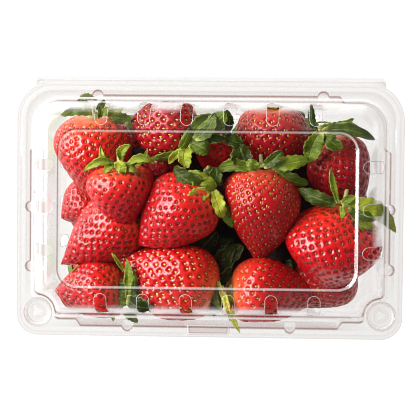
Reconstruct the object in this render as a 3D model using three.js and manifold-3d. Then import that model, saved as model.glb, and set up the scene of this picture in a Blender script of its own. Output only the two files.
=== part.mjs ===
// A hinged clear plastic punnet, shut and filled with strawberries. Millimetres, +Z up, +Y towards the hinge.
// The origin is on the table under the middle of the pack. Three solids: the tub with its rim and hinge
// bead, the lid, and the heap of strawberries.
import * as THREE from "three";
import { mergeVertices } from "three/addons/utils/BufferGeometryUtils.js";
import Module from "manifold-3d";

const wasm = await Module();
wasm.setup();

// ---- driving dimensions -------------------------------------------------------------------------
const PACK_LENGTH = 187; // along X, over the rims
const RIM_FRONT = -63; // y of the rim's front edge
const RIM_BACK = 60.3; // y that the rim's back corners reach; the hinge strip lies between them
const RIM_FRONT_RADIUS = 10.5;
const RIM_BACK_RADIUS = 18;
const HINGE_Y = 62.2; // y of the fold line
const HINGE_LENGTH = 168.6;
const HINGE_BEAD = 0.75; // radius of the bead on the fold line
const HINGE_GAP = 0.3; // between the bead and the lid's strip
const WALL = 0.5; // sheet thickness
const RIM_TOP = 66.5; // z of the tub rim's upper face
const RIM_GAP = 0.6; // air between the two rims
const LID_BASE = RIM_TOP + RIM_GAP; // z of the lid rim's lower face
const LID_RIM_TOP = LID_BASE + WALL;
const DOME_HEIGHT = 18.7; // from the lid rim to the ledge's highest line
const PACK_HEIGHT = LID_RIM_TOP + DOME_HEIGHT;

// Snap buttons in the front corners.
const BUTTON = { x: 83.4, y: -51.8, radius: 5.6, taper: 0.4, depth: 3.4, clearance: 0.6 };

// The outside of the tub's wall, from its mouth down: at the rim, just below the air channel, above the
// base curve, and on the table, where it is small enough to nest in another pack's label panel.
const TUB_MOUTH = { halfX: 83.3, halfY: 52.3, midY: -2.2, notch: 9, backRadius: 12 };
const TUB_WAIST = { halfX: 82.1, halfY: 51.2, midY: -2.2, notch: 9, backRadius: 12 };
const TUB_BELLY = { halfX: 77.8, halfY: 46.9, midY: -2.2, frontRadius: 14, backRadius: 14 };
const TUB_FOOT = { halfX: 69.3, halfY: 36, midY: -0.6, frontRadius: 9, backRadius: 9 };
const BASE_CURVE_TOP = 12; // z where the wall turns into the base curve
const CHANNEL_FOOT = 54; // z where the air channel under the rim begins
const CHANNEL_BULGE = 3.2; // the channel stands out by this much
const KICK_UP = 2; // the floor inside the foot ring is raised by this much
const FOOT_RING = 6.5;
const PINCH_RADIUS = 2.9; // half-round bumps along the channel

// The lid's dome from its foot up; each drop is counted down from the ledge's highest line.
const DOME_FOOT = { halfX: 84.5, halfY: 51.5, midY: -0.6, notch: 9, backRadius: 12 };
const DOME_SHOULDER = { halfX: 79.6, halfY: 47.5, midY: -0.6, notch: 12.8, backRadius: 9.5, drop: 3.7 };
const DOME_LEDGE = { halfX: 77.6, halfY: 44.9, midY: -0.6, notch: 15, backRadius: 8, drop: 0.7 };
const PANEL = { halfX: 71.2, halfY: 37.9, midY: -0.6, frontRadius: 9.5, backRadius: 9.5 }; // label panel
const PANEL_DEPTH = 1.5;
const PANEL_SLOPE = 1.1;
const NOTCH_FILLET = 2.5; // the walls curve in round the buttons with this rounding at both ends
const LATCH = { sizeX: 20.3, sizeY: 4.6, height: 1.3, y: -59.3 };

const SLOT_WIDTH = 5.9; // air slots
const SLOT_PITCH = 20.3;
const SLOTS_LONG_SIDE = 6;
const SLOTS_SHORT_SIDE = 3;
const TUB_SLOT = { low: 5.5, high: 21, reach: 14 }; // z, and how far in it is cut
const LID_SLOT = { fromPanel: 2.1, overRim: 2 }; // how near it comes to the panel and to the rim
const MORE = 1; // cutting bodies run past what they cut by this much

const TOP_BERRY = { sides: 10, rings: 8 }; // facets of the berries on top and of those below
const LOWER_BERRY = { sides: 8, rings: 6 };
const LEAF_THICKNESS = 0.8;
const HEAP_CLEARANCE = 0.7; // the fruit keeps this far from the plastic
// The hidden middle of the heap; it widens by `flare` towards the top.
const CORE = { low: 12, high: 48, halfX: 60, halfY: 30, midY: -2.2, frontRadius: 12, backRadius: 12, flare: 4 };

// ---- solids and meshes --------------------------------------------------------------------------
function solidOf(geometry) {
  const bare = new THREE.BufferGeometry();
  bare.setAttribute("position", geometry.getAttribute("position"));
  if (geometry.index) bare.setIndex(geometry.index);
  const merged = mergeVertices(bare, 1e-4);
  const corners = merged.index.array;
  const kept = [];
  for (let i = 0; i < corners.length; i += 3) {
    const [a, b, c] = corners.slice(i, i + 3);
    if (a !== b && b !== c && c !== a) kept.push(a, b, c);
  }
  return new wasm.Manifold(
    new wasm.Mesh({
      numProp: 3,
      vertProperties: new Float32Array(merged.attributes.position.array),
      triVerts: new Uint32Array(kept),
    }),
  );
}

function meshOf(solid, name, material) {
  const { vertProperties, triVerts } = solid.getMesh();
  const geometry = new THREE.BufferGeometry();
  geometry.setAttribute("position", new THREE.BufferAttribute(vertProperties, 3));
  geometry.setIndex(new THREE.BufferAttribute(triVerts, 1));
  geometry.computeVertexNormals();
  const mesh = new THREE.Mesh(geometry, material);
  mesh.name = name;
  return mesh;
}

function joined(solids) {
  return solids.reduce((sum, solid) => sum.add(solid));
}

function extruded(shape, height, z, curveSegments = 8) {
  const geometry = new THREE.ExtrudeGeometry(shape, { depth: height, bevelEnabled: false, curveSegments });
  return solidOf(geometry.translate(0, 0, z));
}

// An upright round body whose radius changes from bottom to top.
function coned(bottomRadius, topRadius, height, x, y, z, sides = 24) {
  const geometry = new THREE.CylinderGeometry(topRadius, bottomRadius, height, sides);
  geometry.rotateX(Math.PI / 2);
  return solidOf(geometry.translate(x, y, z + height / 2));
}

function box(sizeX, sizeY, sizeZ, x, y, z) {
  return solidOf(new THREE.BoxGeometry(sizeX, sizeY, sizeZ).translate(x, y, z + sizeZ / 2));
}

// ---- outlines and walls -------------------------------------------------------------------------
// Where the bulge of the air channel starts and ends along each side, as shares of the straight part.
const CHANNEL_ENDS = {
  front: [0.047, 0.067, 0.933, 0.953],
  right: [0.12, 0.16, 0.855, 0.89],
  back: [0.044, 0.065, 0.935, 0.956],
  left: [0.11, 0.145, 0.84, 0.88],
};
const NOTCH_STEPS = { fillet: 2, hollow: 4 };
const BACK_CORNER_STEPS = 5;

function arc([x, y], radius, from, to, steps) {
  const points = [];
  for (let i = 0; i <= steps; i += 1) {
    const angle = from + (i / steps) * (to - from);
    points.push([x + radius * Math.cos(angle), y + radius * Math.sin(angle)]);
  }
  return points;
}

// The front right corner of a wall, counterclockwise: plainly rounded, or curving in round the snap button.
function frontCorner({ halfX, halfY, midY, frontRadius, notch }) {
  const front = midY - halfY;
  const { fillet, hollow } = NOTCH_STEPS;
  if (!notch) {
    const steps = 2 * fillet + hollow;
    return arc([halfX - frontRadius, front + frontRadius], frontRadius, -Math.PI / 2, 0, steps);
  }
  const reach = notch + NOTCH_FILLET;
  const frontY = front + NOTCH_FILLET;
  const sideX = halfX - NOTCH_FILLET;
  const frontX = BUTTON.x - Math.sqrt(reach ** 2 - (frontY - BUTTON.y) ** 2);
  const sideY = BUTTON.y + Math.sqrt(reach ** 2 - (sideX - BUTTON.x) ** 2);
  const toFront = Math.atan2(BUTTON.y - frontY, BUTTON.x - frontX);
  const toSide = Math.atan2(BUTTON.y - sideY, BUTTON.x - sideX);
  return [
    ...arc([frontX, frontY], NOTCH_FILLET, -Math.PI / 2, toFront, fillet),
    ...arc([BUTTON.x, BUTTON.y], notch, toFront + Math.PI, toSide + Math.PI, hollow).slice(1, -1),
    ...arc([sideX, sideY], NOTCH_FILLET, toSide, 0, fillet),
  ];
}

// One level of a wall at height z, counterclockwise from the front left corner. Its sides stand out by
// `bulge` between their channel ends.
function wallRing(outline, z, bulge = 0) {
  const { halfX, halfY, midY, backRadius } = outline;
  const mirrored = (points) => points.map(([x, y]) => [-x, y]).reverse();
  const frontRight = frontCorner(outline);
  const backCentre = [halfX - backRadius, midY + halfY - backRadius];
  const backRight = arc(backCentre, backRadius, 0, Math.PI / 2, BACK_CORNER_STEPS);
  const frontLeft = mirrored(frontRight);
  const backLeft = mirrored(backRight);
  const side = (shares, from, to, outX, outY) =>
    shares.map((share, i) => {
      const out = i === 1 || i === 2 ? bulge : 0;
      return [blend(from[0], to[0], share) + outX * out, blend(from[1], to[1], share) + outY * out];
    });
  return [
    ...frontLeft,
    ...side(CHANNEL_ENDS.front, frontLeft.at(-1), frontRight[0], 0, -1),
    ...frontRight,
    ...side(CHANNEL_ENDS.right, frontRight.at(-1), backRight[0], 1, 0),
    ...backRight,
    ...side(CHANNEL_ENDS.back, backRight.at(-1), backLeft[0], 0, 1),
    ...backLeft,
    ...side(CHANNEL_ENDS.left, backLeft.at(-1), frontLeft[0], -1, 0),
  ].map(([x, y]) => [x, y, z]);
}

// An outline drawn in by the same amount on every side.
function drawnIn(outline, inset) {
  return {
    ...outline,
    halfX: outline.halfX - inset,
    halfY: outline.halfY - inset,
    frontRadius: outline.frontRadius && outline.frontRadius - inset,
    notch: outline.notch && outline.notch + inset,
    backRadius: outline.backRadius - inset,
  };
}

// A closed body through rings that all have the same number of points, lowest ring first.
function lofted(rings) {
  const count = rings[0].length;
  const positions = rings.flat(2);
  const index = [];
  for (let level = 0; level + 1 < rings.length; level += 1) {
    for (let i = 0; i < count; i += 1) {
      const a = level * count + i;
      const b = level * count + ((i + 1) % count);
      index.push(a, b, b + count, a, b + count, a + count);
    }
  }
  const flat = (ring) => ring.map(([x, y]) => new THREE.Vector2(x, y));
  const capOf = (ring) => THREE.ShapeUtils.triangulateShape(flat(ring), []);
  const top = (rings.length - 1) * count;
  for (const [a, b, c] of capOf(rings[0])) index.push(a, c, b);
  for (const [a, b, c] of capOf(rings[rings.length - 1])) index.push(top + a, top + b, top + c);
  const geometry = new THREE.BufferGeometry();
  geometry.setAttribute("position", new THREE.Float32BufferAttribute(positions, 3));
  geometry.setIndex(index);
  return solidOf(geometry);
}

function blend(from, to, share) {
  return from + (to - from) * share;
}

// ---- air slots ----------------------------------------------------------------------------------
function slotBody(length, depth) {
  const half = SLOT_WIDTH / 2;
  const shape = new THREE.Shape();
  shape.absarc(0, length - half, half, 0, Math.PI, false);
  shape.absarc(0, half, half, Math.PI, 2 * Math.PI, false);
  return new THREE.ExtrudeGeometry(shape, { depth, bevelEnabled: false, curveSegments: 4 });
}

// The places of the slots round the pack: the middle of each, and the turn that faces it to the wall.
function slotPlaces() {
  return [0, 90, 180, 270].flatMap((turn) => {
    const count = onLongSide({ turn }) ? SLOTS_LONG_SIDE : SLOTS_SHORT_SIDE;
    return Array.from({ length: count }, (_, i) => ({ turn, along: (i - (count - 1) / 2) * SLOT_PITCH }));
  });
}

function onLongSide({ turn }) {
  return turn % 180 === 0;
}

// A slot through an upright wall, `out` from the pack's middle line, from z `low` to z `high`.
function wallSlot({ turn, along }, out, depth, low, high) {
  const geometry = slotBody(high - low, depth);
  geometry.rotateX(Math.PI / 2).translate(along, -out + depth, low);
  return solidOf(geometry.rotateZ(THREE.MathUtils.degToRad(turn)));
}

// A slot through a flat top, from `inner` to beyond `outer`, both counted from the pack's middle line.
function topSlot({ turn, along }, inner, outer, low, high) {
  const geometry = slotBody(outer - inner + SLOT_WIDTH, high - low);
  geometry.rotateZ(Math.PI).translate(along, -inner, low);
  return solidOf(geometry.rotateZ(THREE.MathUtils.degToRad(turn)));
}

// ---- rims and buttons ---------------------------------------------------------------------------
// The rim's outline with its hinge strip, which runs back to `stripEnd`.
function rimShape(stripEnd) {
  const x = PACK_LENGTH / 2;
  const frontX = x - RIM_FRONT_RADIUS;
  const frontY = RIM_FRONT + RIM_FRONT_RADIUS;
  const backX = x - RIM_BACK_RADIUS;
  const backY = RIM_BACK - RIM_BACK_RADIUS;
  const strip = HINGE_LENGTH / 2;
  const notchAngle = Math.acos((strip - backX) / RIM_BACK_RADIUS);
  const shape = new THREE.Shape();
  shape.absarc(-frontX, frontY, RIM_FRONT_RADIUS, Math.PI, 1.5 * Math.PI, false);
  shape.absarc(frontX, frontY, RIM_FRONT_RADIUS, -Math.PI / 2, 0, false);
  shape.absarc(backX, backY, RIM_BACK_RADIUS, 0, notchAngle, false);
  shape.lineTo(strip, stripEnd);
  shape.lineTo(-strip, stripEnd);
  shape.absarc(-backX, backY, RIM_BACK_RADIUS, Math.PI - notchAngle, Math.PI, false);
  return shape;
}

// Round cups that hang from a rim: what is added to the rim, and what is then cut away.
function buttonCups(rimTop, radius, depth) {
  const cups = [-BUTTON.x, BUTTON.x].map((x) => ({
    outside: coned(radius - BUTTON.taper, radius, depth, x, BUTTON.y, rimTop - depth),
    inside: coned(radius - BUTTON.taper - WALL, radius - WALL, depth, x, BUTTON.y, rimTop - depth + WALL),
  }));
  return { outside: joined(cups.map((cup) => cup.outside)), inside: joined(cups.map((cup) => cup.inside)) };
}

// ---- tub ----------------------------------------------------------------------------------------
const BASE_CURVE_STEPS = 4;

// The tub's body, drawn in by `inset` on every side: 0 for its outside, WALL for its inside.
function tubBody(inset, top) {
  const rings = [];
  for (let i = 0; i <= BASE_CURVE_STEPS; i += 1) {
    const angle = (i / BASE_CURVE_STEPS) * (Math.PI / 2);
    const out = Math.sin(angle);
    const outline = {
      halfX: blend(TUB_FOOT.halfX, TUB_BELLY.halfX, out),
      halfY: blend(TUB_FOOT.halfY, TUB_BELLY.halfY, out),
      midY: blend(TUB_FOOT.midY, TUB_BELLY.midY, out),
      frontRadius: blend(TUB_FOOT.frontRadius, TUB_BELLY.frontRadius, out),
      backRadius: blend(TUB_FOOT.backRadius, TUB_BELLY.backRadius, out),
    };
    rings.push(wallRing(drawnIn(outline, inset), inset + (BASE_CURVE_TOP - inset) * (1 - Math.cos(angle))));
  }
  const waist = drawnIn(TUB_WAIST, inset);
  rings.push(wallRing(waist, CHANNEL_FOOT - 3 + inset));
  rings.push(wallRing(waist, CHANNEL_FOOT + inset, CHANNEL_BULGE));
  rings.push(wallRing(drawnIn(TUB_MOUTH, inset), top, CHANNEL_BULGE));
  return lofted(rings);
}

// The floor inside the foot ring, raised from the table.
function kickUp(grow) {
  const floor = drawnIn(TUB_FOOT, FOOT_RING - grow);
  return lofted([
    wallRing(floor, -MORE),
    wallRing(floor, 0),
    wallRing(drawnIn(floor, 1.2), KICK_UP + grow),
  ]);
}

// The half-round bumps in the channel's wall, thinner by `inset`.
function pinchBumps(inset) {
  const out = CHANNEL_BULGE - 0.6;
  const front = TUB_MOUTH.midY - TUB_MOUTH.halfY - out;
  const back = TUB_MOUTH.midY + TUB_MOUTH.halfY + out;
  const end = TUB_MOUTH.halfX + out;
  const places = [-1, 1].flatMap((side) => [
    [39.5 * side, front],
    [54.5 * side, back],
    [end * side, -0.5],
    [end * side, -29.5],
  ]);
  const radius = PINCH_RADIUS - inset;
  const low = CHANNEL_FOOT + 2 + inset;
  const high = inset ? RIM_TOP + MORE : RIM_TOP - WALL / 2;
  return joined(places.map(([x, y]) => coned(radius - 1, radius, high - low, x, y, low, 12)));
}

function makeTub() {
  const rim = extruded(rimShape(HINGE_Y), WALL, RIM_TOP - WALL);
  const bead = new THREE.CylinderGeometry(HINGE_BEAD, HINGE_BEAD, HINGE_LENGTH, 8);
  bead.rotateZ(Math.PI / 2).translate(0, HINGE_Y, RIM_TOP + RIM_GAP / 2);
  const cups = buttonCups(RIM_TOP, BUTTON.radius + BUTTON.clearance + WALL, BUTTON.depth + BUTTON.clearance);
  const outside = tubBody(0, RIM_TOP - WALL / 2).add(pinchBumps(0)).subtract(kickUp(0));
  const inside = tubBody(WALL, RIM_TOP + MORE).add(pinchBumps(WALL)).subtract(kickUp(WALL));
  const slots = slotPlaces().map((place) => {
    const wall = (onLongSide(place) ? TUB_BELLY.halfY : TUB_BELLY.halfX) - TUB_BELLY.midY + MORE;
    return wallSlot(place, wall, TUB_SLOT.reach, TUB_SLOT.low, TUB_SLOT.high);
  });
  return joined([outside, rim, cups.outside, solidOf(bead)])
    .subtract(inside)
    .subtract(cups.inside)
    .subtract(joined(slots));
}

// ---- lid ----------------------------------------------------------------------------------------
// The dome's body from its foot to the ledge, drawn in by `inset` on every side.
function domeBody(inset, foot) {
  const line = PACK_HEIGHT - inset;
  return lofted([
    wallRing(drawnIn(DOME_FOOT, inset), foot),
    wallRing(drawnIn(DOME_SHOULDER, inset), line - DOME_SHOULDER.drop),
    wallRing(drawnIn(DOME_LEDGE, inset), line - DOME_LEDGE.drop),
    wallRing(PANEL, line),
  ]);
}

// The label panel, sunk into the ledge; `grow` makes it larger on every side.
function labelPanel(grow) {
  const edge = drawnIn(PANEL, -grow);
  return lofted([
    wallRing(drawnIn(edge, PANEL_SLOPE), PACK_HEIGHT - PANEL_DEPTH - grow),
    wallRing(edge, PACK_HEIGHT - grow),
    wallRing(edge, PACK_HEIGHT + MORE),
  ]);
}

function makeLid() {
  const rim = extruded(rimShape(HINGE_Y - HINGE_BEAD - HINGE_GAP), WALL, LID_BASE);
  const cups = buttonCups(LID_RIM_TOP, BUTTON.radius, BUTTON.depth);
  const outside = domeBody(0, LID_BASE + WALL / 2).subtract(labelPanel(0));
  const inside = domeBody(WALL, LID_BASE - MORE).subtract(labelPanel(WALL));
  const { sizeX, sizeY, height, y } = LATCH;
  const latch = box(sizeX, sizeY, height, 0, y, LID_BASE + WALL / 2);
  const latchHollow = box(sizeX - 2 * WALL, sizeY - 2 * WALL, height, 0, y, LID_BASE - WALL / 2);
  const slots = slotPlaces().flatMap((place) => {
    const middle = { 0: -DOME_FOOT.midY, 180: DOME_FOOT.midY }[place.turn] ?? 0;
    const panelEdge = (onLongSide(place) ? PANEL.halfY : PANEL.halfX) + middle;
    const wall = (onLongSide(place) ? DOME_FOOT.halfY : DOME_FOOT.halfX) + middle;
    const inner = panelEdge + LID_SLOT.fromPanel;
    const low = LID_RIM_TOP + LID_SLOT.overRim;
    const high = PACK_HEIGHT + MORE;
    return [
      topSlot(place, inner, wall, high - DOME_HEIGHT / 2, high),
      wallSlot(place, wall + MORE, wall - inner - 2 * MORE, low, high),
    ];
  });
  return joined([outside, rim, cups.outside, latch])
    .subtract(inside)
    .subtract(cups.inside)
    .subtract(latchHollow)
    .subtract(joined(slots));
}

// ---- strawberries -------------------------------------------------------------------------------
// Each berry: where its crown is, where its tip is, its width, and the share of its length, counted from
// the crown, at which it is widest. The first group lies on top, the second under it.
const TOP_BERRIES = [
  { crown: [-57.5, 45, 55], tip: [-57, -3, 41], width: 40, belly: 0.32 },
  { crown: [-43.5, 20.5, 67], tip: [-41.5, -14, 60], width: 31.5, belly: 0.32 },
  { crown: [-5.5, 34.5, 57], tip: [-39.5, 42.5, 55], width: 32, belly: 0.45 },
  { crown: [1, 10, 65], tip: [-34.5, -19, 62], width: 35, belly: 0.36 },
  { crown: [30.5, 49.5, 56], tip: [32, 16, 46], width: 38, belly: 0.35 },
  { crown: [25, 20.5, 63.5], tip: [23.5, -26.5, 57], width: 37.5, belly: 0.32 },
  { crown: [55.5, 34, 57], tip: [73, -0.5, 47], width: 30, belly: 0.4 },
  { crown: [63.5, 1.5, 61.5], tip: [52, -40.5, 56], width: 43, belly: 0.45 },
  { crown: [-47.5, -5, 54], tip: [-75.5, -30.5, 50], width: 32, belly: 0.33 },
  { crown: [-55.5, 4, 38], tip: [-76.5, -7.5, 36], width: 26, belly: 0.36 },
  { crown: [-42, -39.5, 55], tip: [-76, -41.5, 52], width: 31, belly: 0.42 },
  { crown: [2.5, -45, 58], tip: [-44, -24.5, 53], width: 37, belly: 0.34 },
  { crown: [9.5, -41.5, 58], tip: [47.5, -40, 52], width: 33, belly: 0.32 },
  { crown: [74.5, -23, 42], tip: [49, -46.5, 42], width: 34, belly: 0.42 },
  { crown: [8.5, 43.5, 50], tip: [0.5, 19.5, 44], width: 29, belly: 0.4 },
  { crown: [-36.5, 26, 36], tip: [-11, 7.5, 36], width: 32, belly: 0.4 },
];
const LOWER_BERRIES = [
  { crown: [-72, -23, 24], tip: [-42, -37, 17], width: 31, belly: 0.36 },
  { crown: [-27, -16, 24], tip: [-15, -47, 18], width: 33, belly: 0.34 },
  { crown: [36, -34, 21], tip: [2, -30, 19], width: 32, belly: 0.38 },
  { crown: [50, -14, 25], tip: [66, -42, 18], width: 32, belly: 0.34 },
  { crown: [-72, 28, 22], tip: [-42, 20, 20], width: 33, belly: 0.36 },
  { crown: [-34, 22, 25], tip: [-9, 38, 18], width: 30, belly: 0.34 },
  { crown: [8, 36, 22], tip: [36, 19, 20], width: 32, belly: 0.36 },
  { crown: [71, 34, 25], tip: [46, 14, 20], width: 33, belly: 0.38 },
  { crown: [-60, 11, 34], tip: [-63, -19, 26], width: 29, belly: 0.36 },
  { crown: [65, 10, 29], tip: [60, -20, 18], width: 30, belly: 0.36 },
];
// The green leaves of the crowns that show: from the crown to the leaf's tip, its width, and how far its
// middle bows up.
const LEAVES = [
  { from: [-57.5, 45, 64], to: [-72.5, 44, 66], width: 4, arch: 1.5 },
  { from: [-58.5, 46, 65], to: [-61.5, 51.5, 66], width: 5, arch: 1 },
  { from: [-53.5, 42.5, 68], to: [-53.5, 49.5, 70], width: 2.6, arch: 0.5 },
  { from: [-54, 45.5, 63], to: [-42, 48, 65], width: 4.5, arch: 1.5 },
  { from: [-50.5, 45, 58], to: [-39, 42.5, 59], width: 5, arch: 1.5 },
  { from: [-45.5, 20.5, 75], to: [-59.5, 18, 74], width: 4.5, arch: 2.5 },
  { from: [-46.5, 21.5, 73], to: [-51.5, 27.5, 76], width: 3.2, arch: 1 },
  { from: [-44, 22, 77], to: [-40, 18.5, 80], width: 6, arch: 1 },
  { from: [-42, 22, 74], to: [-38.5, 28, 77], width: 5, arch: 1 },
  { from: [-39.5, 21, 74], to: [-32.5, 26.5, 76], width: 5, arch: 1 },
  { from: [-39, 20.5, 76], to: [-25, 22.5, 77], width: 5.5, arch: 2.5 },
  { from: [-11.5, 28, 66], to: [-28.5, 23.5, 66], width: 4.5, arch: 1.5 },
  { from: [-10, 31.5, 66], to: [-11, 19, 70], width: 6.5, arch: 2 },
  { from: [-10.5, 27, 68], to: [-20, 21, 66], width: 3.5, arch: 1 },
  { from: [-9.5, 31, 68], to: [-0.5, 26.5, 71], width: 8, arch: 2 },
  { from: [-9, 33, 66], to: [1.5, 44.5, 68], width: 7, arch: 1.5 },
  { from: [-8, 32.5, 64], to: [2, 37.5, 68], width: 3.5, arch: 1 },
  { from: [5.5, 37.5, 62], to: [6, 45.5, 66], width: 5, arch: 1.5 },
  { from: [5.5, 37.5, 61], to: [13.5, 29, 64], width: 4.5, arch: 1.5 },
  { from: [20.5, 19, 70], to: [4, 18.5, 66], width: 5.5, arch: 2 },
  { from: [18.5, 20, 68], to: [14, 30.5, 67], width: 9.5, arch: 2 },
  { from: [24, 19, 74], to: [18.5, 23, 75], width: 4.5, arch: 1 },
  { from: [26, 20, 74], to: [35, 27.5, 75], width: 5, arch: 1.5 },
  { from: [30, 20, 73], to: [47.5, 23.5, 72], width: 7, arch: 2.5 },
  { from: [32, 18.5, 71], to: [47.5, 12, 66], width: 6, arch: 2 },
  { from: [54, 36, 64], to: [78.5, 34.5, 66], width: 6, arch: 3 },
  { from: [55, 37, 65], to: [67.5, 43, 66], width: 4.5, arch: 1.5 },
  { from: [53, 36, 66], to: [47.5, 24.5, 66], width: 7, arch: 1.5 },
  { from: [55, 36, 67], to: [63, 30, 70], width: 6, arch: 1.5 },
  { from: [52, 36, 64], to: [50, 49.5, 68], width: 3, arch: 1 },
  { from: [61.5, 2.5, 73], to: [43, 9.5, 69], width: 6.5, arch: 3 },
  { from: [62, 3, 74], to: [58, 19.5, 77], width: 2.8, arch: 1 },
  { from: [63.5, 3, 74], to: [70, 6.5, 74], width: 4, arch: 1 },
  { from: [64.5, 2, 74], to: [82, -2.5, 72], width: 4.5, arch: 2 },
  { from: [66.5, 0, 74], to: [80, -5.5, 73], width: 4.5, arch: 1.5 },
  { from: [70.5, -2.5, 72], to: [76, -14.5, 68], width: 3, arch: 2 },
  { from: [63.5, 1.5, 75], to: [63.5, -4, 78], width: 3, arch: 0.5 },
  { from: [0, 8.5, 71], to: [-8.5, 0, 79], width: 7, arch: 2.5 },
  { from: [-1.5, 10.5, 72], to: [-17, 19, 71], width: 7, arch: 3 },
  { from: [-1, 10.5, 70], to: [-8, 17.5, 72], width: 6.5, arch: 1.5 },
  { from: [1.5, 10.5, 68], to: [3, 19.5, 69], width: 5.5, arch: 1.5 },
  { from: [2, 8.5, 70], to: [6.5, -4.5, 73], width: 5.5, arch: 2 },
  { from: [3.5, 7.5, 67], to: [11.5, -9.5, 67], width: 4.5, arch: 2 },
  { from: [-64, -30.5, 55], to: [-68.5, -34.5, 56], width: 2.5, arch: 0.5 },
  { from: [-41.5, -32, 64], to: [-47, -22.5, 69], width: 1.8, arch: 0.5 },
  { from: [-39.5, -44, 62], to: [-39.5, -27, 64], width: 4.5, arch: 1.5 },
  { from: [-40.5, -41, 60], to: [-47.5, -50.5, 60], width: 6, arch: 1.5 },
  { from: [-42, -46.5, 58], to: [-31, -49, 58], width: 7.5, arch: 1.5 },
  { from: [6, -44.5, 60], to: [0, -45, 61], width: 4.5, arch: 1 },
  { from: [7, -41.5, 62], to: [11, -49, 64], width: 4.5, arch: 1.5 },
  { from: [6.5, -38.5, 66], to: [13.5, -53.5, 70], width: 3.2, arch: 1 },
];

// Half the width of a berry at a share of its length: round shoulders, then a blunt cone.
function berryRadius(share, width, belly) {
  const warp = Math.log(0.5) / Math.log(belly);
  return (width / 2) * Math.sin(Math.PI * share ** warp) ** 0.72;
}

// One berry as a turned body between its crown and its tip.
function makeBerry({ crown, tip, width, belly }, { sides, rings }) {
  const from = new THREE.Vector3(...crown);
  const along = new THREE.Vector3(...tip).sub(from);
  const length = along.length();
  const profile = [new THREE.Vector2(0, 0)];
  for (let i = 1; i < rings; i += 1) {
    const share = 0.5 - 0.5 * Math.cos((i / rings) * Math.PI);
    profile.push(new THREE.Vector2(berryRadius(share, width, belly), share * length));
  }
  profile.push(new THREE.Vector2(0, length));
  const turn = new THREE.Quaternion().setFromUnitVectors(new THREE.Vector3(0, 1, 0), along.normalize());
  const place = new THREE.Matrix4().compose(from, turn, new THREE.Vector3(1, 1, 1));
  return solidOf(new THREE.LatheGeometry(profile, sides).applyMatrix4(place));
}

// A thin leaf that bows up in the middle and has a keel along it: a bottom and a top face split alike.
function makeLeaf({ from, to, width, arch }) {
  const start = new THREE.Vector3(...from);
  const along = new THREE.Vector3(...to).sub(start);
  const across = new THREE.Vector3(-along.y, along.x, 0).normalize();
  const at = (share, side, lift) => {
    const point = start.clone().addScaledVector(along, share).addScaledVector(across, side * width);
    return [point.x, point.y, point.z + lift];
  };
  const keel = 0.12 * width;
  const face = [
    at(0, -0.25, 0),
    at(0.5, -0.5, arch),
    at(1, 0, 0),
    at(0.5, 0.5, arch),
    at(0, 0.25, 0),
    at(0, 0, -keel),
    at(0.5, 0, arch - keel),
  ];
  const rim = [0, 1, 2, 3, 4, 5];
  const fan = [
    [0, 1, 6],
    [1, 2, 6],
    [2, 3, 6],
    [3, 4, 6],
    [4, 5, 6],
    [5, 0, 6],
  ];
  const below = face.length;
  const positions = [...face, ...face.map(([x, y, z]) => [x, y, z - LEAF_THICKNESS])];
  const index = fan.flatMap(([a, b, c]) => [a, b, c, a + below, c + below, b + below]);
  rim.forEach((a, i) => {
    const b = rim[(i + 1) % rim.length];
    index.push(a, a + below, b + below, a, b + below, b);
  });
  const geometry = new THREE.BufferGeometry();
  geometry.setAttribute("position", new THREE.Float32BufferAttribute(positions.flat(), 3));
  geometry.setIndex(index);
  return solidOf(geometry);
}

// The largest outer skin of a solid, so that a hollow shut in between berries is filled.
function outerSkin(solid) {
  return solid.decompose().reduce((best, piece) => (piece.volume() > best.volume() ? piece : best));
}

function makeHeap() {
  const core = lofted([wallRing(CORE, CORE.low), wallRing(drawnIn(CORE, -CORE.flare), CORE.high)]);
  const berries = [
    ...TOP_BERRIES.map((berry) => makeBerry(berry, TOP_BERRY)),
    ...LOWER_BERRIES.map((berry) => makeBerry(berry, LOWER_BERRY)),
  ];
  const inset = WALL + HEAP_CLEARANCE;
  const underLid = domeBody(inset, LID_BASE - 3 * MORE).subtract(labelPanel(inset));
  const room = tubBody(inset, RIM_TOP - HEAP_CLEARANCE)
    .add(tubBody(inset, PACK_HEIGHT).intersect(underLid))
    .subtract(kickUp(inset));
  return outerSkin(joined([core, ...berries, ...LEAVES.map(makeLeaf)]).intersect(room));
}

// ---- the object ---------------------------------------------------------------------------------
const clearPlastic = new THREE.MeshStandardMaterial({
  color: 0xf4f6f5,
  roughness: 0.08,
  metalness: 0,
  transparent: true,
  opacity: 0.2,
});
const fruit = new THREE.MeshStandardMaterial({ color: 0xc8141c, roughness: 0.35, metalness: 0 });

const punnet = new THREE.Group();
punnet.add(meshOf(makeTub(), "tub", clearPlastic));
punnet.add(meshOf(makeLid(), "lid", clearPlastic));
punnet.add(meshOf(makeHeap(), "strawberries", fruit));

export default punnet;
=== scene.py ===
"""A shut punnet of strawberries: clear tub, clear hinged lid, and the heap of fruit. Metres, +Z up."""

import math
import random

import bmesh
import bpy
import numpy as np
from mathutils import Matrix, Vector


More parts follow.
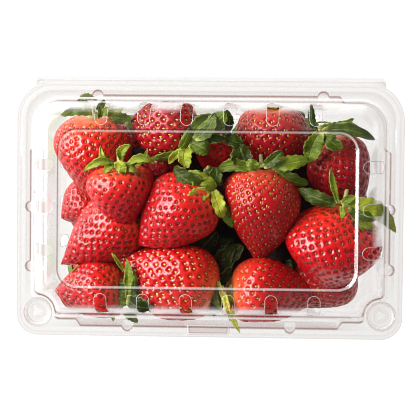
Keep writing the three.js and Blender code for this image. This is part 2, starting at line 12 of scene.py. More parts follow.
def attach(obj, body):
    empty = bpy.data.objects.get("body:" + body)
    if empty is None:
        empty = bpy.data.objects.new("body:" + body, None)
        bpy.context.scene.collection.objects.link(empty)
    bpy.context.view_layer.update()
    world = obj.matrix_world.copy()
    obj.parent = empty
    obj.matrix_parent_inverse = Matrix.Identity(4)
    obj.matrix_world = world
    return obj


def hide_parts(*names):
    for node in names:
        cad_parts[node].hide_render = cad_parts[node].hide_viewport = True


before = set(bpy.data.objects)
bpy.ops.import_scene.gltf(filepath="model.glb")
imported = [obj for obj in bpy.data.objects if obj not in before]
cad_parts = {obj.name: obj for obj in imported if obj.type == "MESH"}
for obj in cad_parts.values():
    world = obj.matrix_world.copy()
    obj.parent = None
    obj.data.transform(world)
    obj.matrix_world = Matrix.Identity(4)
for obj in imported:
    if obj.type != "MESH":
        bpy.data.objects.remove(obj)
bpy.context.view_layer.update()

MM = 0.001
UP = Vector((0, 0, 1))

# ---- camera and its view ------------------------------------------------------------------------
PICTURE_WIDTH = 201  # mm that the picture spans at the height of the rim
SENSOR = 36
CAMERA_DISTANCE = 800
CAMERA_TARGET = (-0.6, -0.24, 67.6)
CAMERA_LEAN = (2.8, 2.5)  # degrees off the plumb line, to the right and to the back
CAMERA_ROLL = 0.009  # radians
CAMERA_SEES = (0.05, 20)  # metres, from and to


def add_camera():
    lean_x, lean_y = (math.sin(math.radians(a)) for a in CAMERA_LEAN)
    back = Vector((lean_x, lean_y, math.sqrt(1 - lean_x**2 - lean_y**2)))
    right = Vector((0, 1, 0)).cross(back).normalized()
    up = back.cross(right)
    turn = Matrix((right, up, back)).transposed().to_4x4()
    place = Matrix.Translation((Vector(CAMERA_TARGET) + back * CAMERA_DISTANCE) * MM) @ turn
    camera = made(bpy.ops.object.camera_add)
    camera.matrix_world = Matrix.Rotation(CAMERA_ROLL, 4, "Z") @ place
    camera.data.sensor_width = SENSOR
    camera.data.lens = SENSOR * CAMERA_DISTANCE / PICTURE_WIDTH
    camera.data.clip_start, camera.data.clip_end = CAMERA_SEES
    bpy.context.scene.camera = camera


# ---- small helpers ------------------------------------------------------------------------------
def only(*pieces):
    bpy.ops.object.select_all(action="DESELECT")
    for piece in pieces:
        piece.select_set(True)
    bpy.context.view_layer.objects.active = pieces[0]


def edit(piece, mode="VERT"):
    only(piece)
    bpy.ops.object.mode_set(mode="EDIT")
    bpy.ops.mesh.select_mode(type=mode)
    bpy.ops.mesh.select_all(action="DESELECT")
    return bmesh.from_edit_mesh(piece.data)


def done():
    bpy.ops.object.mode_set(mode="OBJECT")


def joined(name, pieces):
    only(*pieces)
    if len(pieces) > 1:
        bpy.ops.object.join()
    piece = bpy.context.active_object
    piece.name = piece.data.name = name
    return piece


def apply_modifier(piece, kind, **settings):
    only(piece)
    modifier = piece.modifiers.new(kind.title(), kind)
    for key, value in settings.items():
        setattr(modifier, key, value)
    bpy.ops.object.modifier_apply(modifier=modifier.name)


def cut(piece, cutter, operation="DIFFERENCE"):
    apply_modifier(piece, "BOOLEAN", operation=operation, object=cutter, solver="MANIFOLD")
    bpy.data.objects.remove(cutter)


def smooth(piece, degrees):
    only(piece)
    bpy.ops.object.shade_smooth_by_angle(angle=math.radians(degrees))


def blend(a, b, share):
    return a + (b - a) * share


def ease(low, high, value):
    share = min(1.0, max(0.0, (value - low) / (high - low)))
    return share * share * (3 - 2 * share)


def give_values(piece, name, values):
    layer = piece.data.attributes.new(name, "FLOAT", "POINT")
    layer.data.foreach_set("value", np.asarray(values, dtype=np.float32))


def made(operator, **settings):
    """The object that an operator adds."""
    operator(**settings)
    return bpy.context.active_object


def cylinder(sides, radius, depth):
    return made(bpy.ops.mesh.primitive_cylinder_add, vertices=sides, radius=radius * MM, depth=depth * MM)


def moved(x, y, z):
    return Matrix.Translation(Vector((x, y, z)) * MM)


def unit(vector):
    return vector / np.linalg.norm(vector)


def mesh_piece(name, points, faces):
    mesh = bpy.data.meshes.new(name)
    mesh.from_pydata(points.tolist(), [], faces)
    piece = bpy.data.objects.new(name, mesh)
    bpy.context.collection.objects.link(piece)
    return piece


def points_of(piece):
    return np.array([vertex.co[:] for vertex in piece.data.vertices])


def put_at(piece, points):
    piece.data.vertices.foreach_set("co", (points * MM).ravel())


def all_smooth(piece):
    for face in piece.data.polygons:
        face.use_smooth = True


def dressed(piece, finish):
    piece.data.materials.clear()
    piece.data.materials.append(finish)
    return piece


# ---- shader maths -------------------------------------------------------------------------------
class Value:
    """One output of a material's nodes. Operators on it add the Math nodes they stand for."""

    def __init__(self, finish, socket):
        self.finish, self.socket = finish, socket

    def maths(self, operation, *values):
        return self.finish.node("ShaderNodeMath", {"operation": operation}, dict(enumerate(values)))

    def __add__(self, other):
        return self.maths("ADD", self, other)

    def __sub__(self, other):
        return self.maths("SUBTRACT", self, other)

    def __rsub__(self, other):
        return self.maths("SUBTRACT", other, self)

    def __mul__(self, other):
        return self.maths("MULTIPLY", self, other)

    def __pow__(self, other):
        return self.maths("POWER", self, other)

    __radd__, __rmul__ = __add__, __mul__

    def held(self):
        return self.finish.node("ShaderNodeClamp", {}, {"Value": self})


class Finish:
    """A material under construction."""

    def __init__(self, name):
        self.material = bpy.data.materials.new(name)
        self.material.use_nodes = True
        self.tree = self.material.node_tree
        self.tree.nodes.clear()

    def node(self, kind, settings, inputs, output=0):
        node = self.tree.nodes.new(kind)
        stops = settings.pop("stops", None)
        for key, value in settings.items():
            setattr(node, key, value)
        if stops:
            elements = node.color_ramp.elements
            while len(elements) < len(stops):
                elements.new(1)
            for element, (position, colour) in zip(elements, stops):
                element.position, element.color = position, (*colour, 1)
        for key, value in inputs.items():
            if isinstance(value, Value):
                self.tree.links.new(value.socket, node.inputs[key])
            elif isinstance(value, tuple) and len(value) == 3 and node.inputs[key].type == "RGBA":
                node.inputs[key].default_value = (*value, 1)
            else:
                node.inputs[key].default_value = value
        return Value(self, node.outputs[output])

    def place(self, scale=(1, 1, 1)):
        coordinates = self.node("ShaderNodeTexCoord", {}, {}, "Object")
        return self.node("ShaderNodeMapping", {}, {"Vector": coordinates, "Scale": scale})

    def grain(self, scale, detail=2.0, stretch=(1, 1, 1)):
        inputs = {"Vector": self.place(stretch), "Scale": scale, "Detail": detail}
        return self.node("ShaderNodeTexNoise", {}, inputs, "Fac")

    def attribute(self, name):
        return self.node("ShaderNodeAttribute", {"attribute_name": name}, {}, "Fac")

    def ramp(self, value, *stops):
        return self.node("ShaderNodeValToRGB", {"stops": stops}, {"Fac": value}, "Color")

    def mix(self, share, a, b, kind="MIX"):
        settings = {"data_type": "RGBA", "blend_type": kind}
        return self.node("ShaderNodeMix", settings, {0: share, 6: a, 7: b}, 2)

    def bump(self, height, distance, strength=1.0):
        inputs = {"Height": height, "Distance": distance, "Strength": strength}
        return self.node("ShaderNodeBump", {}, inputs)

    def clear(self, colour):
        return self.node("ShaderNodeBsdfTransparent", {}, {"Color": colour})

    def solid(self, inputs):
        return self.node("ShaderNodeBsdfPrincipled", {}, inputs)

    def layered(self, share, below, above):
        return self.node("ShaderNodeMixShader", {}, {0: share, 1: below, 2: above})

    def finished(self, shader):
        output = self.tree.nodes.new("ShaderNodeOutputMaterial")
        self.tree.links.new(shader.socket, output.inputs["Surface"])
        return self.material


# ---- finishes -----------------------------------------------------------------------------------
def clear_sheet(name):
    """Thin clear plastic. It mirrors more the flatter it is looked along. A white milky layer that glows,
    painted light, whitens it where it is milky, and more the flatter it is looked along; `line` is painted
    shade along a crease, where the bent sheet looks dark."""
    finish = Finish(name)
    scuffs = finish.grain(420, 3, (1, 0.35, 1))
    normal = finish.bump(finish.grain(22, 1), 0.0006, 0.15)
    facing = finish.node("ShaderNodeLayerWeight", {}, {"Blend": 0.5, "Normal": normal}, "Facing")
    mirror = 0.03 + 0.7 * facing**5
    # Painted sheen: the glowing milky layer shows where the sheet is milky, and more where it is looked along
    # flat.
    haze_and_glow = finish.attribute("haze_and_glow") * (0.8 + 0.4 * scuffs) * (0.3 + 1.3 * facing**2) + 0.3 * facing**4
    clear = finish.clear((0.982, 0.98, 0.975))
    # Painted shade: a dark tint seen through the sheet along its creases.
    crease = finish.clear((0.58, 0.45, 0.42))
    seen_through = finish.layered(finish.attribute("line"), clear, crease)
    inputs = {"Color": (1, 0.99, 1), "Roughness": 0.08, "Normal": normal}
    gloss = finish.node("ShaderNodeBsdfAnisotropic", {}, inputs)
    # The milky layer: a grey surface that also glows white, painted light.
    inputs = {"Base Color": (0.42, 0.415, 0.41), "Roughness": 0.3}
    inputs |= {"Emission Color": (1, 0.985, 0.98), "Emission Strength": 0.42}
    glowing_veil = finish.solid(inputs)
    film = finish.layered(mirror, seen_through, gloss)
    return finish.finished(finish.layered(haze_and_glow.held(), film, glowing_veil))


def cut_edge():
    finish = Finish("cut_plastic_edge")
    clear = finish.clear((0.95, 0.95, 0.95))
    edge = finish.solid({"Base Color": (0.45, 0.45, 0.45), "Roughness": 0.15})
    return finish.finished(finish.layered(0.45 + 0.4 * finish.grain(900, 2), clear, edge))


def fruit_skin():
    finish = Finish("strawberry_skin")
    share, tone, pit = (finish.attribute(key) for key in ("share", "tone", "pit"))
    mottle = finish.grain(160, 4)
    patches = finish.grain(70, 2)
    place = (share + 0.10 * (mottle - 0.5)).held()
    bright = finish.ramp(
        place,
        (0.0, (0.85, 0.24, 0.06)),
        (0.05, (0.82, 0.085, 0.02)),
        (0.16, (0.70, 0.018, 0.008)),
        (0.45, (0.54, 0.003, 0.006)),
        (1.0, (0.39, 0.001, 0.006)),
    )
    deep = finish.ramp(
        place,
        (0.0, (0.45, 0.10, 0.04)),
        (0.06, (0.38, 0.025, 0.02)),
        (0.22, (0.25, 0.003, 0.008)),
        (1.0, (0.17, 0.001, 0.006)),
    )
    ripe = finish.mix((tone + 0.5 * (patches - 0.5)).held(), bright, deep)
    # Pits darken: partly the deeper red of the hollows, partly painted shade in them.
    colour = finish.mix(pit * 0.75, ripe, finish.mix(1.0, ripe, (0.35, 0.20, 0.25), "MULTIPLY"))
    inputs = {
        "Base Color": colour,
        "Roughness": 0.4 + 0.1 * mottle,
        "Specular IOR Level": 0.12,
        "Coat Weight": 0.9 - 0.65 * tone,
        "Coat Roughness": 0.08,
        "Coat IOR": 1.6,
        "Normal": finish.bump(finish.grain(1500, 2), 0.00012, 0.5),
    }
    return finish.finished(finish.solid(inputs))


def seed_skin():
    finish = Finish("strawberry_seed")
    colour = finish.ramp(
        (finish.attribute("tone") + 0.25 * (finish.grain(700, 1) - 0.5)).held(),
        (0.0, (0.07, 0.012, 0.006)),
        (0.3, (0.25, 0.08, 0.015)),
        (0.6, (0.40, 0.24, 0.025)),
        (1.0, (0.62, 0.46, 0.05)),
    )
    inputs = {"Base Color": colour, "Roughness": 0.32, "Coat Weight": 0.2}
    return finish.finished(finish.solid(inputs))


def leaf_skin():
    finish = Finish("strawberry_leaf")
    along, across, tone = (finish.attribute(key) for key in ("along", "across", "tone"))
    blotch = finish.grain(220, 4)
    cells = finish.grain(900, 3)
    green = finish.ramp(
        (tone + 0.55 * (blotch - 0.5)).held(),
        (0.0, (0.42, 0.30, 0.10)),
        (0.08, (0.46, 0.48, 0.045)),
        (0.28, (0.25, 0.28, 0.015)),
        (0.5, (0.105, 0.15, 0.006)),
        (0.8, (0.040, 0.064, 0.003)),
        (1.0, (0.018, 0.029, 0.003)),
    )
    midrib = (1 - across * across * 60).held()
    edge = (across * across * 3 - 2.3).held()
    lit = finish.mix((0.22 * midrib + 0.4 * edge).held(), green, (0.36, 0.40, 0.10))
    base = finish.mix(((0.14 - along) * 6).held(), lit, (0.42, 0.44, 0.12))
    inputs = {"Vector": finish.place(), "Scale": 160, "Distortion": 6}
    veins = finish.node("ShaderNodeTexWave", {"bands_direction": "Y"}, inputs, 1)
    height = 0.7 * cells + 0.8 * blotch - 0.6 * midrib + 0.3 * veins
    inputs = {"Base Color": base, "Roughness": 0.34 + 0.25 * blotch, "Specular IOR Level": 0.22}
    inputs["Normal"] = finish.bump(height, 0.0005, 0.9)
    return finish.finished(finish.solid(inputs))


def stalk_skin():
    finish = Finish("strawberry_stalk")
    blotch = finish.grain(400, 3)
    colour = finish.ramp(blotch, (0.3, (0.20, 0.26, 0.05)), (0.7, (0.50, 0.46, 0.18)))
    inputs = {"Base Color": colour, "Roughness": 0.5, "Normal": finish.bump(blotch, 0.0003, 0.6)}
    return finish.finished(finish.solid(inputs))


def shade_skin():
    """What lies deep in the heap: red at its sides, nearly black on top, where little light falls."""
    finish = Finish("fruit_in_shade")
    # Painted shade: near-black patches on top of the heap's middle.
    patches = finish.ramp(finish.grain(60, 3), (0.35, (0.045, 0.004, 0.004)), (0.65, (0.02, 0.010, 0.005)))
    pits = finish.grain(240, 1)
    low = finish.ramp(pits, (0.4, (0.12, 0.001, 0.004)), (0.6, (0.26, 0.004, 0.008)))
    inputs = {"Base Color": finish.mix(finish.attribute("depth"), patches, low), "Roughness": 0.55}
    inputs |= {"Specular IOR Level": 0.2, "Normal": finish.bump(pits, 0.0015, 0.8)}
    return finish.finished(finish.solid(inputs))


def floor_paint():
    finish = Finish("pale_floor")
    inputs = {"Base Color": (0.02, 0.02, 0.02), "Roughness": 0.6, "Emission Color": (1, 1, 1)}
    inputs["Emission Strength"] = 1.0
    return finish.finished(finish.solid(inputs))


# ---- outlines of the pack -----------------------------------------------------------------------
# Millimetres. A shape is one level's outline: half its length x, its front and back y, and its corners.
# `notch` curves in round the snap button with that radius; `front` and `back` radii round outwards.
BUTTON = (83.4, -51.8)
NOTCH_FILLET = 2.5
FILLET_STEPS = 5
HOLLOW_STEPS = 12
BACK_STEPS = 16
STRIP_STEPS = 4
STRIP_RADIUS = 2
ROUND_SIDES = 64
RIM = {"x": 93.5, "front_y": -63, "back_y": 60.3, "front": 10.5, "back": 18}
STRIP_HALF = 84.3  # the hinge strip's half length
HINGE = (62.2, 66.8)  # y and z of the fold line
BEAD_RADIUS = 0.75


def pack_shape(half_x, half_y, mid_y, back, **corner):
    return {"x": half_x, "front_y": mid_y - half_y, "back_y": mid_y + half_y, "back": back, **corner}


TUB_MOUTH = pack_shape(83.3, 52.3, -2.2, 12, notch=9)
TUB_WAIST = pack_shape(82.1, 51.2, -2.2, 12, notch=9)
TUB_BELLY = pack_shape(77.8, 46.9, -2.2, 14, front=14)
TUB_FOOT = pack_shape(69.3, 36, -0.6, 9, front=9)
DOME_FOOT = pack_shape(84.5, 51.5, -0.6, 12, notch=9)
DOME_SHOULDER = pack_shape(79.6, 47.5, -0.6, 9.5, notch=12.8)
DOME_LEDGE = pack_shape(77.6, 44.9, -0.6, 8, notch=15)
PANEL = pack_shape(71.2, 37.9, -0.6, 9.5, front=9.5)


def drawn_in(shape, inset):
    moves = {"x": -inset, "front_y": inset, "back_y": -inset, "back": -inset, "front": -inset}
    moves |= {"notch": inset, "strip_x": -inset, "strip_y": -inset}
    return {key: value + moves[key] for key, value in shape.items()}


def arc(centre, radius, start, end, steps):
    angles = [blend(start, end, i / steps) for i in range(steps + 1)]
    return [(centre[0] + radius * math.cos(a), centre[1] + radius * math.sin(a)) for a in angles]


def front_corner(shape):
    """The front right corner, counterclockwise."""
    x, front = shape["x"], shape["front_y"]
    if "notch" not in shape:
        radius = shape["front"]
        centre = (x - radius, front + radius)
        return arc(centre, radius, -math.pi / 2, 0, 2 * FILLET_STEPS + HOLLOW_STEPS)
    notch = shape["notch"]
    reach = notch + NOTCH_FILLET
    front_y, side_x = front + NOTCH_FILLET, x - NOTCH_FILLET
    front_x = BUTTON[0] - math.sqrt(reach**2 - (front_y - BUTTON[1]) ** 2)
    side_y = BUTTON[1] + math.sqrt(reach**2 - (side_x - BUTTON[0]) ** 2)
    to_front = math.atan2(BUTTON[1] - front_y, BUTTON[0] - front_x)
    to_side = math.atan2(BUTTON[1] - side_y, BUTTON[0] - side_x)
    hollow = arc(BUTTON, notch, to_front + math.pi, to_side + math.pi, HOLLOW_STEPS)
    return [
        *arc((front_x, front_y), NOTCH_FILLET, -math.pi / 2, to_front, FILLET_STEPS),
        *hollow[1:-1],
        *arc((side_x, side_y), NOTCH_FILLET, to_side, 0, FILLET_STEPS),
    ]


def back_corner(shape):
    """The back right corner, counterclockwise; a shape with a hinge strip steps out to it."""
    radius = shape["back"]
    centre = (shape["x"] - radius, shape["back_y"] - radius)
    if "strip_y" not in shape:
        return arc(centre, radius, 0, math.pi / 2, BACK_STEPS - 1)
    meet = math.acos((shape["strip_x"] - centre[0]) / radius)
    corner = (shape["strip_x"] - STRIP_RADIUS, shape["strip_y"] - STRIP_RADIUS)
    return [
        *arc(centre, radius, 0, meet, BACK_STEPS - STRIP_STEPS - 2),
        *arc(corner, STRIP_RADIUS, 0, math.pi / 2, STRIP_STEPS),
    ]


def fitted(stations, low, high):
    """Places along a side, squeezed only if the side's straight part is too short for them."""
    first, last = max(stations[0], low + 0.6), min(stations[-1], high - 0.6)
    stretch = (last - first) / (stations[-1] - stations[0])
    return [first + (a - stations[0]) * stretch for a in stations]


def outline(shape, z, stations, push=lambda side, along: 0):
    """One level, counterclockwise from the front left corner. `stations` are places along a long and a
    short side; `push` moves them outwards."""
    long_side, short_side = stations
    front_right, back_right = front_corner(shape), back_corner(shape)
    front_left = [(-x, y) for x, y in reversed(front_right)]
    back_left = [(-x, y) for x, y in reversed(back_right)]
    front_end, back_end = front_right[0][0], back_right[-1][0]
    back_y = back_right[-1][1]
    front = [(a, shape["front_y"] - push("front", a)) for a in fitted(long_side, -front_end, front_end)]
    back = [(a, back_y + push("back", a)) for a in reversed(fitted(long_side, -back_end, back_end))]
    right = [
        (shape["x"] + push("short", a), a) for a in fitted(short_side, front_right[-1][1], back_right[0][1])
    ]
    left = [(-x, y) for x, y in reversed(right)]
    points = front_left + front + front_right + right + back_right + back + back_left + left
    return [Vector((x, y, z)) for x, y in points]


def between(low, high, share):
    return [a.lerp(b, share) for a, b in zip(low, high)]


def rounded(start, corner, end, steps):
    """Levels that turn from `start` round `corner` to `end`."""
    shares = [i / steps for i in range(steps + 1)]
    return [between(between(start, corner, s), between(corner, end, s), s) for s in shares]


def round_ring(centre, radius, z, lobes=0.0):
    angles = [2 * math.pi * i / ROUND_SIDES for i in range(ROUND_SIDES)]
    radii = [radius * (1 + lobes * math.cos(3 * a)) for a in angles]
    return [
        Vector((centre[0] + r * math.cos(a), centre[1] + r * math.sin(a), z)) for r, a in zip(radii, angles)
    ]


def oblong_ring(centre, half_x, half_y, radius, z):
    points = []
    for turn, (side_x, side_y) in enumerate([(1, 1), (-1, 1), (-1, -1), (1, -1)]):
        corner = (centre[0] + side_x * (half_x - radius), centre[1] + side_y * (half_y - radius))
        points += arc(corner, radius, turn * math.pi / 2, (turn + 1) * math.pi / 2, 5)
    return [Vector((x, y, z)) for x, y in points]


def lofted(name, levels):
    """A sheet through levels of equally many points: a circle's edge is laid on the first level, and each
    next one is extruded from the one before; the last is filled in. A level is its points, how milky the
    sheet is there (its milky layer glows, painted light), and how dark the painted shade along a crease is."""
    count = len(levels[0][0])
    sheet = made(bpy.ops.mesh.primitive_circle_add, vertices=count, radius=0.05)
    sheet.name = sheet.data.name = name
    for vertex, point in zip(sheet.data.vertices, levels[0][0]):
        vertex.co = point * MM
    edit(sheet, "EDGE")
    bpy.ops.mesh.select_all(action="SELECT")
    last = list(range(count))
    for ring, _, _ in levels[1:]:
        bpy.ops.mesh.extrude_edges_move()
        mesh = bmesh.from_edit_mesh(sheet.data)
        mesh.verts.ensure_lookup_table()
        old = len(mesh.verts) - count
        above = []
        for index in last:
            vertex = mesh.verts[index]
            ends = (e.other_vert(vertex) for e in vertex.link_edges)
            above.append(next(v.index for v in ends if v.index >= old))
        for index, point in zip(above, ring):
            mesh.verts[index].co = point * MM
        last = above
    bpy.ops.mesh.edge_face_add()
    done()
    give_values(sheet, "haze_and_glow", [level[1] for level in levels for _ in range(count)])
    give_values(sheet, "line", [level[2] for level in levels for _ in range(count)])
    return sheet


def plain(rings, haze_and_glow=0.02):
    return [(ring, haze_and_glow, 0) for ring in rings]


def all_faces(piece, operator, **settings):
    edit(piece)
    bpy.ops.mesh.select_all(action="SELECT")
    operator(**settings)
    done()


def thickened(sheet, thickness, flat_at, above=False):
    """Gives a sheet its thickness: below it at the flat place `flat_at`, or above it."""
    all_faces(sheet, bpy.ops.mesh.normals_make_consistent, inside=False)
    place = Vector(flat_at) * MM
    nearest = min(sheet.data.polygons, key=lambda face: (face.center - place).length)
    if nearest.normal.z < 0:
        all_faces(sheet, bpy.ops.mesh.flip_normals)
    apply_modifier(sheet, "SOLIDIFY", thickness=thickness * MM, offset=1 if above else -1)
    all_faces(sheet, bpy.ops.mesh.normals_make_consistent, inside=False)
    return sheet


# ---- air slots ----------------------------------------------------------------------------------
SLOT_WIDTH = 5.9
SLOT_PITCH = 20.3
SLOT_SIDES = 24
LIP_RADIUS = 0.14
CUTTER_HEIGHT = 4
PACK_MIDDLE = (0, 0, 40)


def bar(length, depth):
    """A bar with round ends: `length` along z from 0, SLOT_WIDTH along x, and `depth` along y from 0."""
    half = SLOT_WIDTH / 2 * MM
    piece = cylinder(SLOT_SIDES, SLOT_WIDTH / 2, depth)
    piece.data.transform(Matrix.Translation((0, depth / 2 * MM, half)) @ Matrix.Rotation(math.pi / 2, 4, "X"))
    mesh = edit(piece)
    for vertex in mesh.verts:
        vertex.select = vertex.co.z > half
    mesh.select_flush(True)
    bpy.ops.transform.translate(value=(0, 0, (length - SLOT_WIDTH) * MM))
    done()
    return piece


def slot_cutter(make_bar):
    """The bars of all slots in one cutter. make_bar(turn) gives the bar of a slot in the front wall."""
    bars = []
    for turn in range(4):
        count = 3 if turn % 2 else 6
        for i in range(count):
            piece = make_bar(turn)
            along = (i - (count - 1) / 2) * SLOT_PITCH * MM
            turned = Matrix.Rotation(turn * math.pi / 2, 4, "Z") @ Matrix.Translation((along, 0, 0))
            piece.data.transform(turned)
            bars.append(piece)
    return joined("slot_cutter", bars)


def reach_of(shape, turn):
    """How far a shape's side lies from the pack's middle."""
    return [-shape["front_y"], shape["x"], shape["back_y"], shape["x"]][turn]


def slot_lips(shell):
    """A fine bead along the outer edges of all cuts in a shell."""
    only(shell)
    bpy.ops.object.duplicate()
    lips = bpy.context.active_object
    mesh = edit(lips, "EDGE")
    skin = mesh.faces.layers.int["skin"]
    middle = Vector(PACK_MIDDLE) * MM
    rims = []
    for edge in mesh.edges:
        faces = edge.link_faces
        if len(faces) == 2 and sum(face[skin] for face in faces) == 1:
            outer = faces[0] if faces[0][skin] else faces[1]
            if outer.normal.dot(outer.calc_center_median() - middle) > 0:
                rims.append(edge)
    for edge in rims:
        edge.select = True
    bpy.ops.mesh.duplicate()
    bpy.ops.mesh.separate(type="SELECTED")
    done()
    wires = next(o for o in bpy.context.selected_objects if o is not lips)
    bpy.data.objects.remove(lips)
    only(wires)
    bpy.ops.object.convert(target="CURVE")
    wires = bpy.context.active_object
    wires.data.bevel_depth = LIP_RADIUS * MM
    wires.data.bevel_resolution = 1
    bpy.ops.object.convert(target="MESH")
    return bpy.context.active_object


def mark_skin(sheet):
    layer = sheet.data.attributes.new("skin", "INT", "FACE")
    layer.data.foreach_set("value", [1] * len(sheet.data.polygons))


def disc_cutter(centre, radius, z):
    piece = cylinder(ROUND_SIDES, radius, CUTTER_HEIGHT)
    piece.data.transform(moved(*centre, z))
    return piece


BOTH_BUTTONS = [(-BUTTON[0], BUTTON[1]), BUTTON]
LID_BUTTON_HOLE = 7.35  # radius
TUB_CUP_HOLE = 7.1

# ---- lid ----------------------------------------------------------------------------------------
LID_TOP = 67.6  # upper face of the lid's rim
LID_SHEET = 0.35
LEDGE_TOP = 86.3
LID_LONG = [-60 + 4 * i for i in range(31)]
LID_SHORT = [-26 + 4 * i for i in range(14)]
# The bead round the rim's back: how far in from its edge, how high, how milky (the milky layer glows, painted
# light), and how dark the painted shade along its crease.
RIM_BEAD = ((2.0, 0, 0.05, 0.1), (2.5, 0.5, 0.12, 0), (3.9, 0.5, 0.05, 0), (4.4, 0, 0.05, 0.15))
# Up the dome's wall, from its foot 0 to its shoulder 1: how milky it is (a glowing milky layer, painted
# light), and where painted shade along a crease shows.
LID_WALL = ((0.15, 0.26, 0), (0.45, 0.3, 0), (0.7, 0.22, 0), (0.85, 0.08, 0))
LATCH = {"centre": (0, -59.3), "half_x": 10.15, "half_y": 2.3}
LATCH_GROW = 0.4
JOIN = 0.08  # how much thicker a pressed detail is than the sheet it joins
SHARP = 35  # degrees: edges sharper than this stay sharp
FLANGE_HAZE_AND_GLOW, WALL_HAZE_AND_GLOW, LEDGE_HAZE_AND_GLOW, PANEL_HAZE_AND_GLOW = 0.06, 0.06, 0.02, 0.0
PANEL_DEPTH = 1.5


def lid_sheet():
    stations = (LID_LONG, LID_SHORT)
    rim = {**RIM, "strip_x": STRIP_HALF, "strip_y": 61.15}
    levels = [(outline(rim, LID_TOP, stations), 0.12, 0.18)]
    for inset, strip_y, lift in [(0.25, 60.3, 0), (0.5, 59.8, 0.35), (0.75, 59.3, 0)]:
        pleat = {**drawn_in(rim, inset), "strip_y": strip_y}
        ring = outline(pleat, LID_TOP, stations)
        levels.append(([p + UP * lift * (p.y > strip_y - 0.1) for p in ring], FLANGE_HAZE_AND_GLOW, 0))
    for inset, lift, haze_and_glow, line in RIM_BEAD:
        ring = outline(drawn_in(RIM, inset), LID_TOP, stations)
        levels.append(([p + UP * lift * ease(20, 28, p.y) for p in ring], haze_and_glow, line))
    # At the dome's foot the sheet is made very milky, so its glowing layer paints a white band there: a
    # painted highlight.
    for grow, haze_and_glow in ((-2.1, FLANGE_HAZE_AND_GLOW), (-1.8, 1.6), (-1.2, 1.6)):
        levels.append((outline(drawn_in(DOME_FOOT, grow), LID_TOP, stations), haze_and_glow, 0))
    on_rim = outline(drawn_in(DOME_FOOT, -0.9), LID_TOP, stations)
    foot = outline(DOME_FOOT, LID_TOP, stations)
    shoulder = outline(DOME_SHOULDER, LEDGE_TOP - 3.7, stations)
    ledge = outline(DOME_LEDGE, LEDGE_TOP - 0.7, stations)
    border = outline(PANEL, LEDGE_TOP, stations)
    sunk = outline(drawn_in(PANEL, 1.7), LEDGE_TOP - PANEL_DEPTH, stations)
    inside = outline(drawn_in(PANEL, 3.3), LEDGE_TOP - PANEL_DEPTH, stations)
    fillet = rounded(on_rim, foot, between(foot, shoulder, 0.06), 4)
    levels += zip(fillet, (0.5, 0.05, 0.05, 0.15, 0.26), (0, 0.25, 0.45, 0.1, 0))
    levels += [(between(foot, shoulder, share), haze_and_glow, line) for share, haze_and_glow, line in LID_WALL]
    bend = rounded(between(foot, shoulder, 0.92), shoulder, between(shoulder, ledge, 0.4), 4)
    step = rounded(between(shoulder, ledge, 0.6), ledge, between(ledge, border, 0.3), 4)
    levels += plain(bend, WALL_HAZE_AND_GLOW) + plain(step, LEDGE_HAZE_AND_GLOW)
    levels += plain([between(ledge, border, 0.65)], LEDGE_HAZE_AND_GLOW)
    # The panel's edge: a milky, glowing slope that paints a white band, a painted highlight, with painted
    # shade along its creases.
    edge = rounded(between(ledge, border, 0.93), border, between(border, sunk, 0.35), 3)
    levels += zip(edge, (LEDGE_HAZE_AND_GLOW, 0.04, 0.04, 0.55), (0, 0.8, 0.6, 0))
    levels += plain([between(border, sunk, 0.75)], 0.5)
    levels += plain(rounded(between(border, sunk, 0.9), sunk, between(sunk, inside, 0.25), 3), PANEL_HAZE_AND_GLOW)
    levels.append((inside, PANEL_HAZE_AND_GLOW, 0))
    return thickened(lofted("lid_shell", levels), LID_SHEET, (0, 0, LEDGE_TOP))


def lid_button(centre):
    z = LID_TOP
    # Each row: radius, rise, lobes, how milky (a glowing milky layer, painted light), and how dark the
    # painted crease shade.
    rows = [
        (7.5, 0.04, 0, 0.05, 0),
        (7.2, 0.04, 0, 0.05, 0.3),
        (7.0, 0.4, 0, 0.6, 0),
        (6.75, 0.4, 0, 0.6, 0),
        (6.5, 0, 0, 0.1, 0.25),
        (5.9, 0, 0, 0.1, 0),
        (5.65, -0.25, 0, 0.6, 0.15),
        (5.3, -2.9, 0, 0.4, 0.1),
        (5.0, -3.3, 0, 0.2, 0.15),
        (4.6, -3.4, 0, 0.3, 0),
        (3.3, -3.4, 0.16, 0.3, 0.12),
        (2.6, -3.3, 0.25, 0.5, 0.06),
        (2.3, -2.8, 0.25, 0.5, 0.12),
        (1.6, -2.7, 0.2, 0.3, 0),
    ]
    levels = [
        (round_ring(centre, radius, z + up, lobes), haze_and_glow, line) for radius, up, lobes, haze_and_glow, line in rows
    ]
    return thickened(lofted("button", levels), LID_SHEET + JOIN, (*centre, z - 2.7))


def latch_bump():
    centre, half_x, half_y = LATCH["centre"], LATCH["half_x"], LATCH["half_y"]
    # Each row: growth, corner radius, rise, how milky (a glowing milky layer, painted light), and how dark
    # the painted crease shade.
    rows = [
        (0.5, 1.3, 0.04, 0.05, 0),
        (0.1, 0.9, 0.04, 0.3, 0.3),
        (-0.1, 0.8, 0.3, 0.4, 0),
        (-0.2, 0.7, 1.1, 0.4, 0),
        (-0.4, 0.6, 1.3, 0.1, 0),
        (-1.1, 0.5, 1.3, 0.05, 0.7),
        (-1.3, 0.4, 1.0, 0.2, 0.3),
    ]
    levels = [
        (oblong_ring(centre, half_x + grow, half_y + grow, radius, LID_TOP + up), haze_and_glow, line)
        for grow, radius, up, haze_and_glow, line in rows
    ]
    return thickened(lofted("latch", levels), LID_SHEET + JOIN, (*centre, LID_TOP + 1))


def latch_cutter():
    centre = LATCH["centre"]
    piece = made(bpy.ops.mesh.primitive_cube_add, size=1)
    sides = [2 * (LATCH[key] + LATCH_GROW) * MM for key in ("half_x", "half_y")]
    size = Matrix.Diagonal((*sides, CUTTER_HEIGHT * MM, 1))
    piece.data.transform(moved(*centre, LID_TOP) @ size)
    return piece


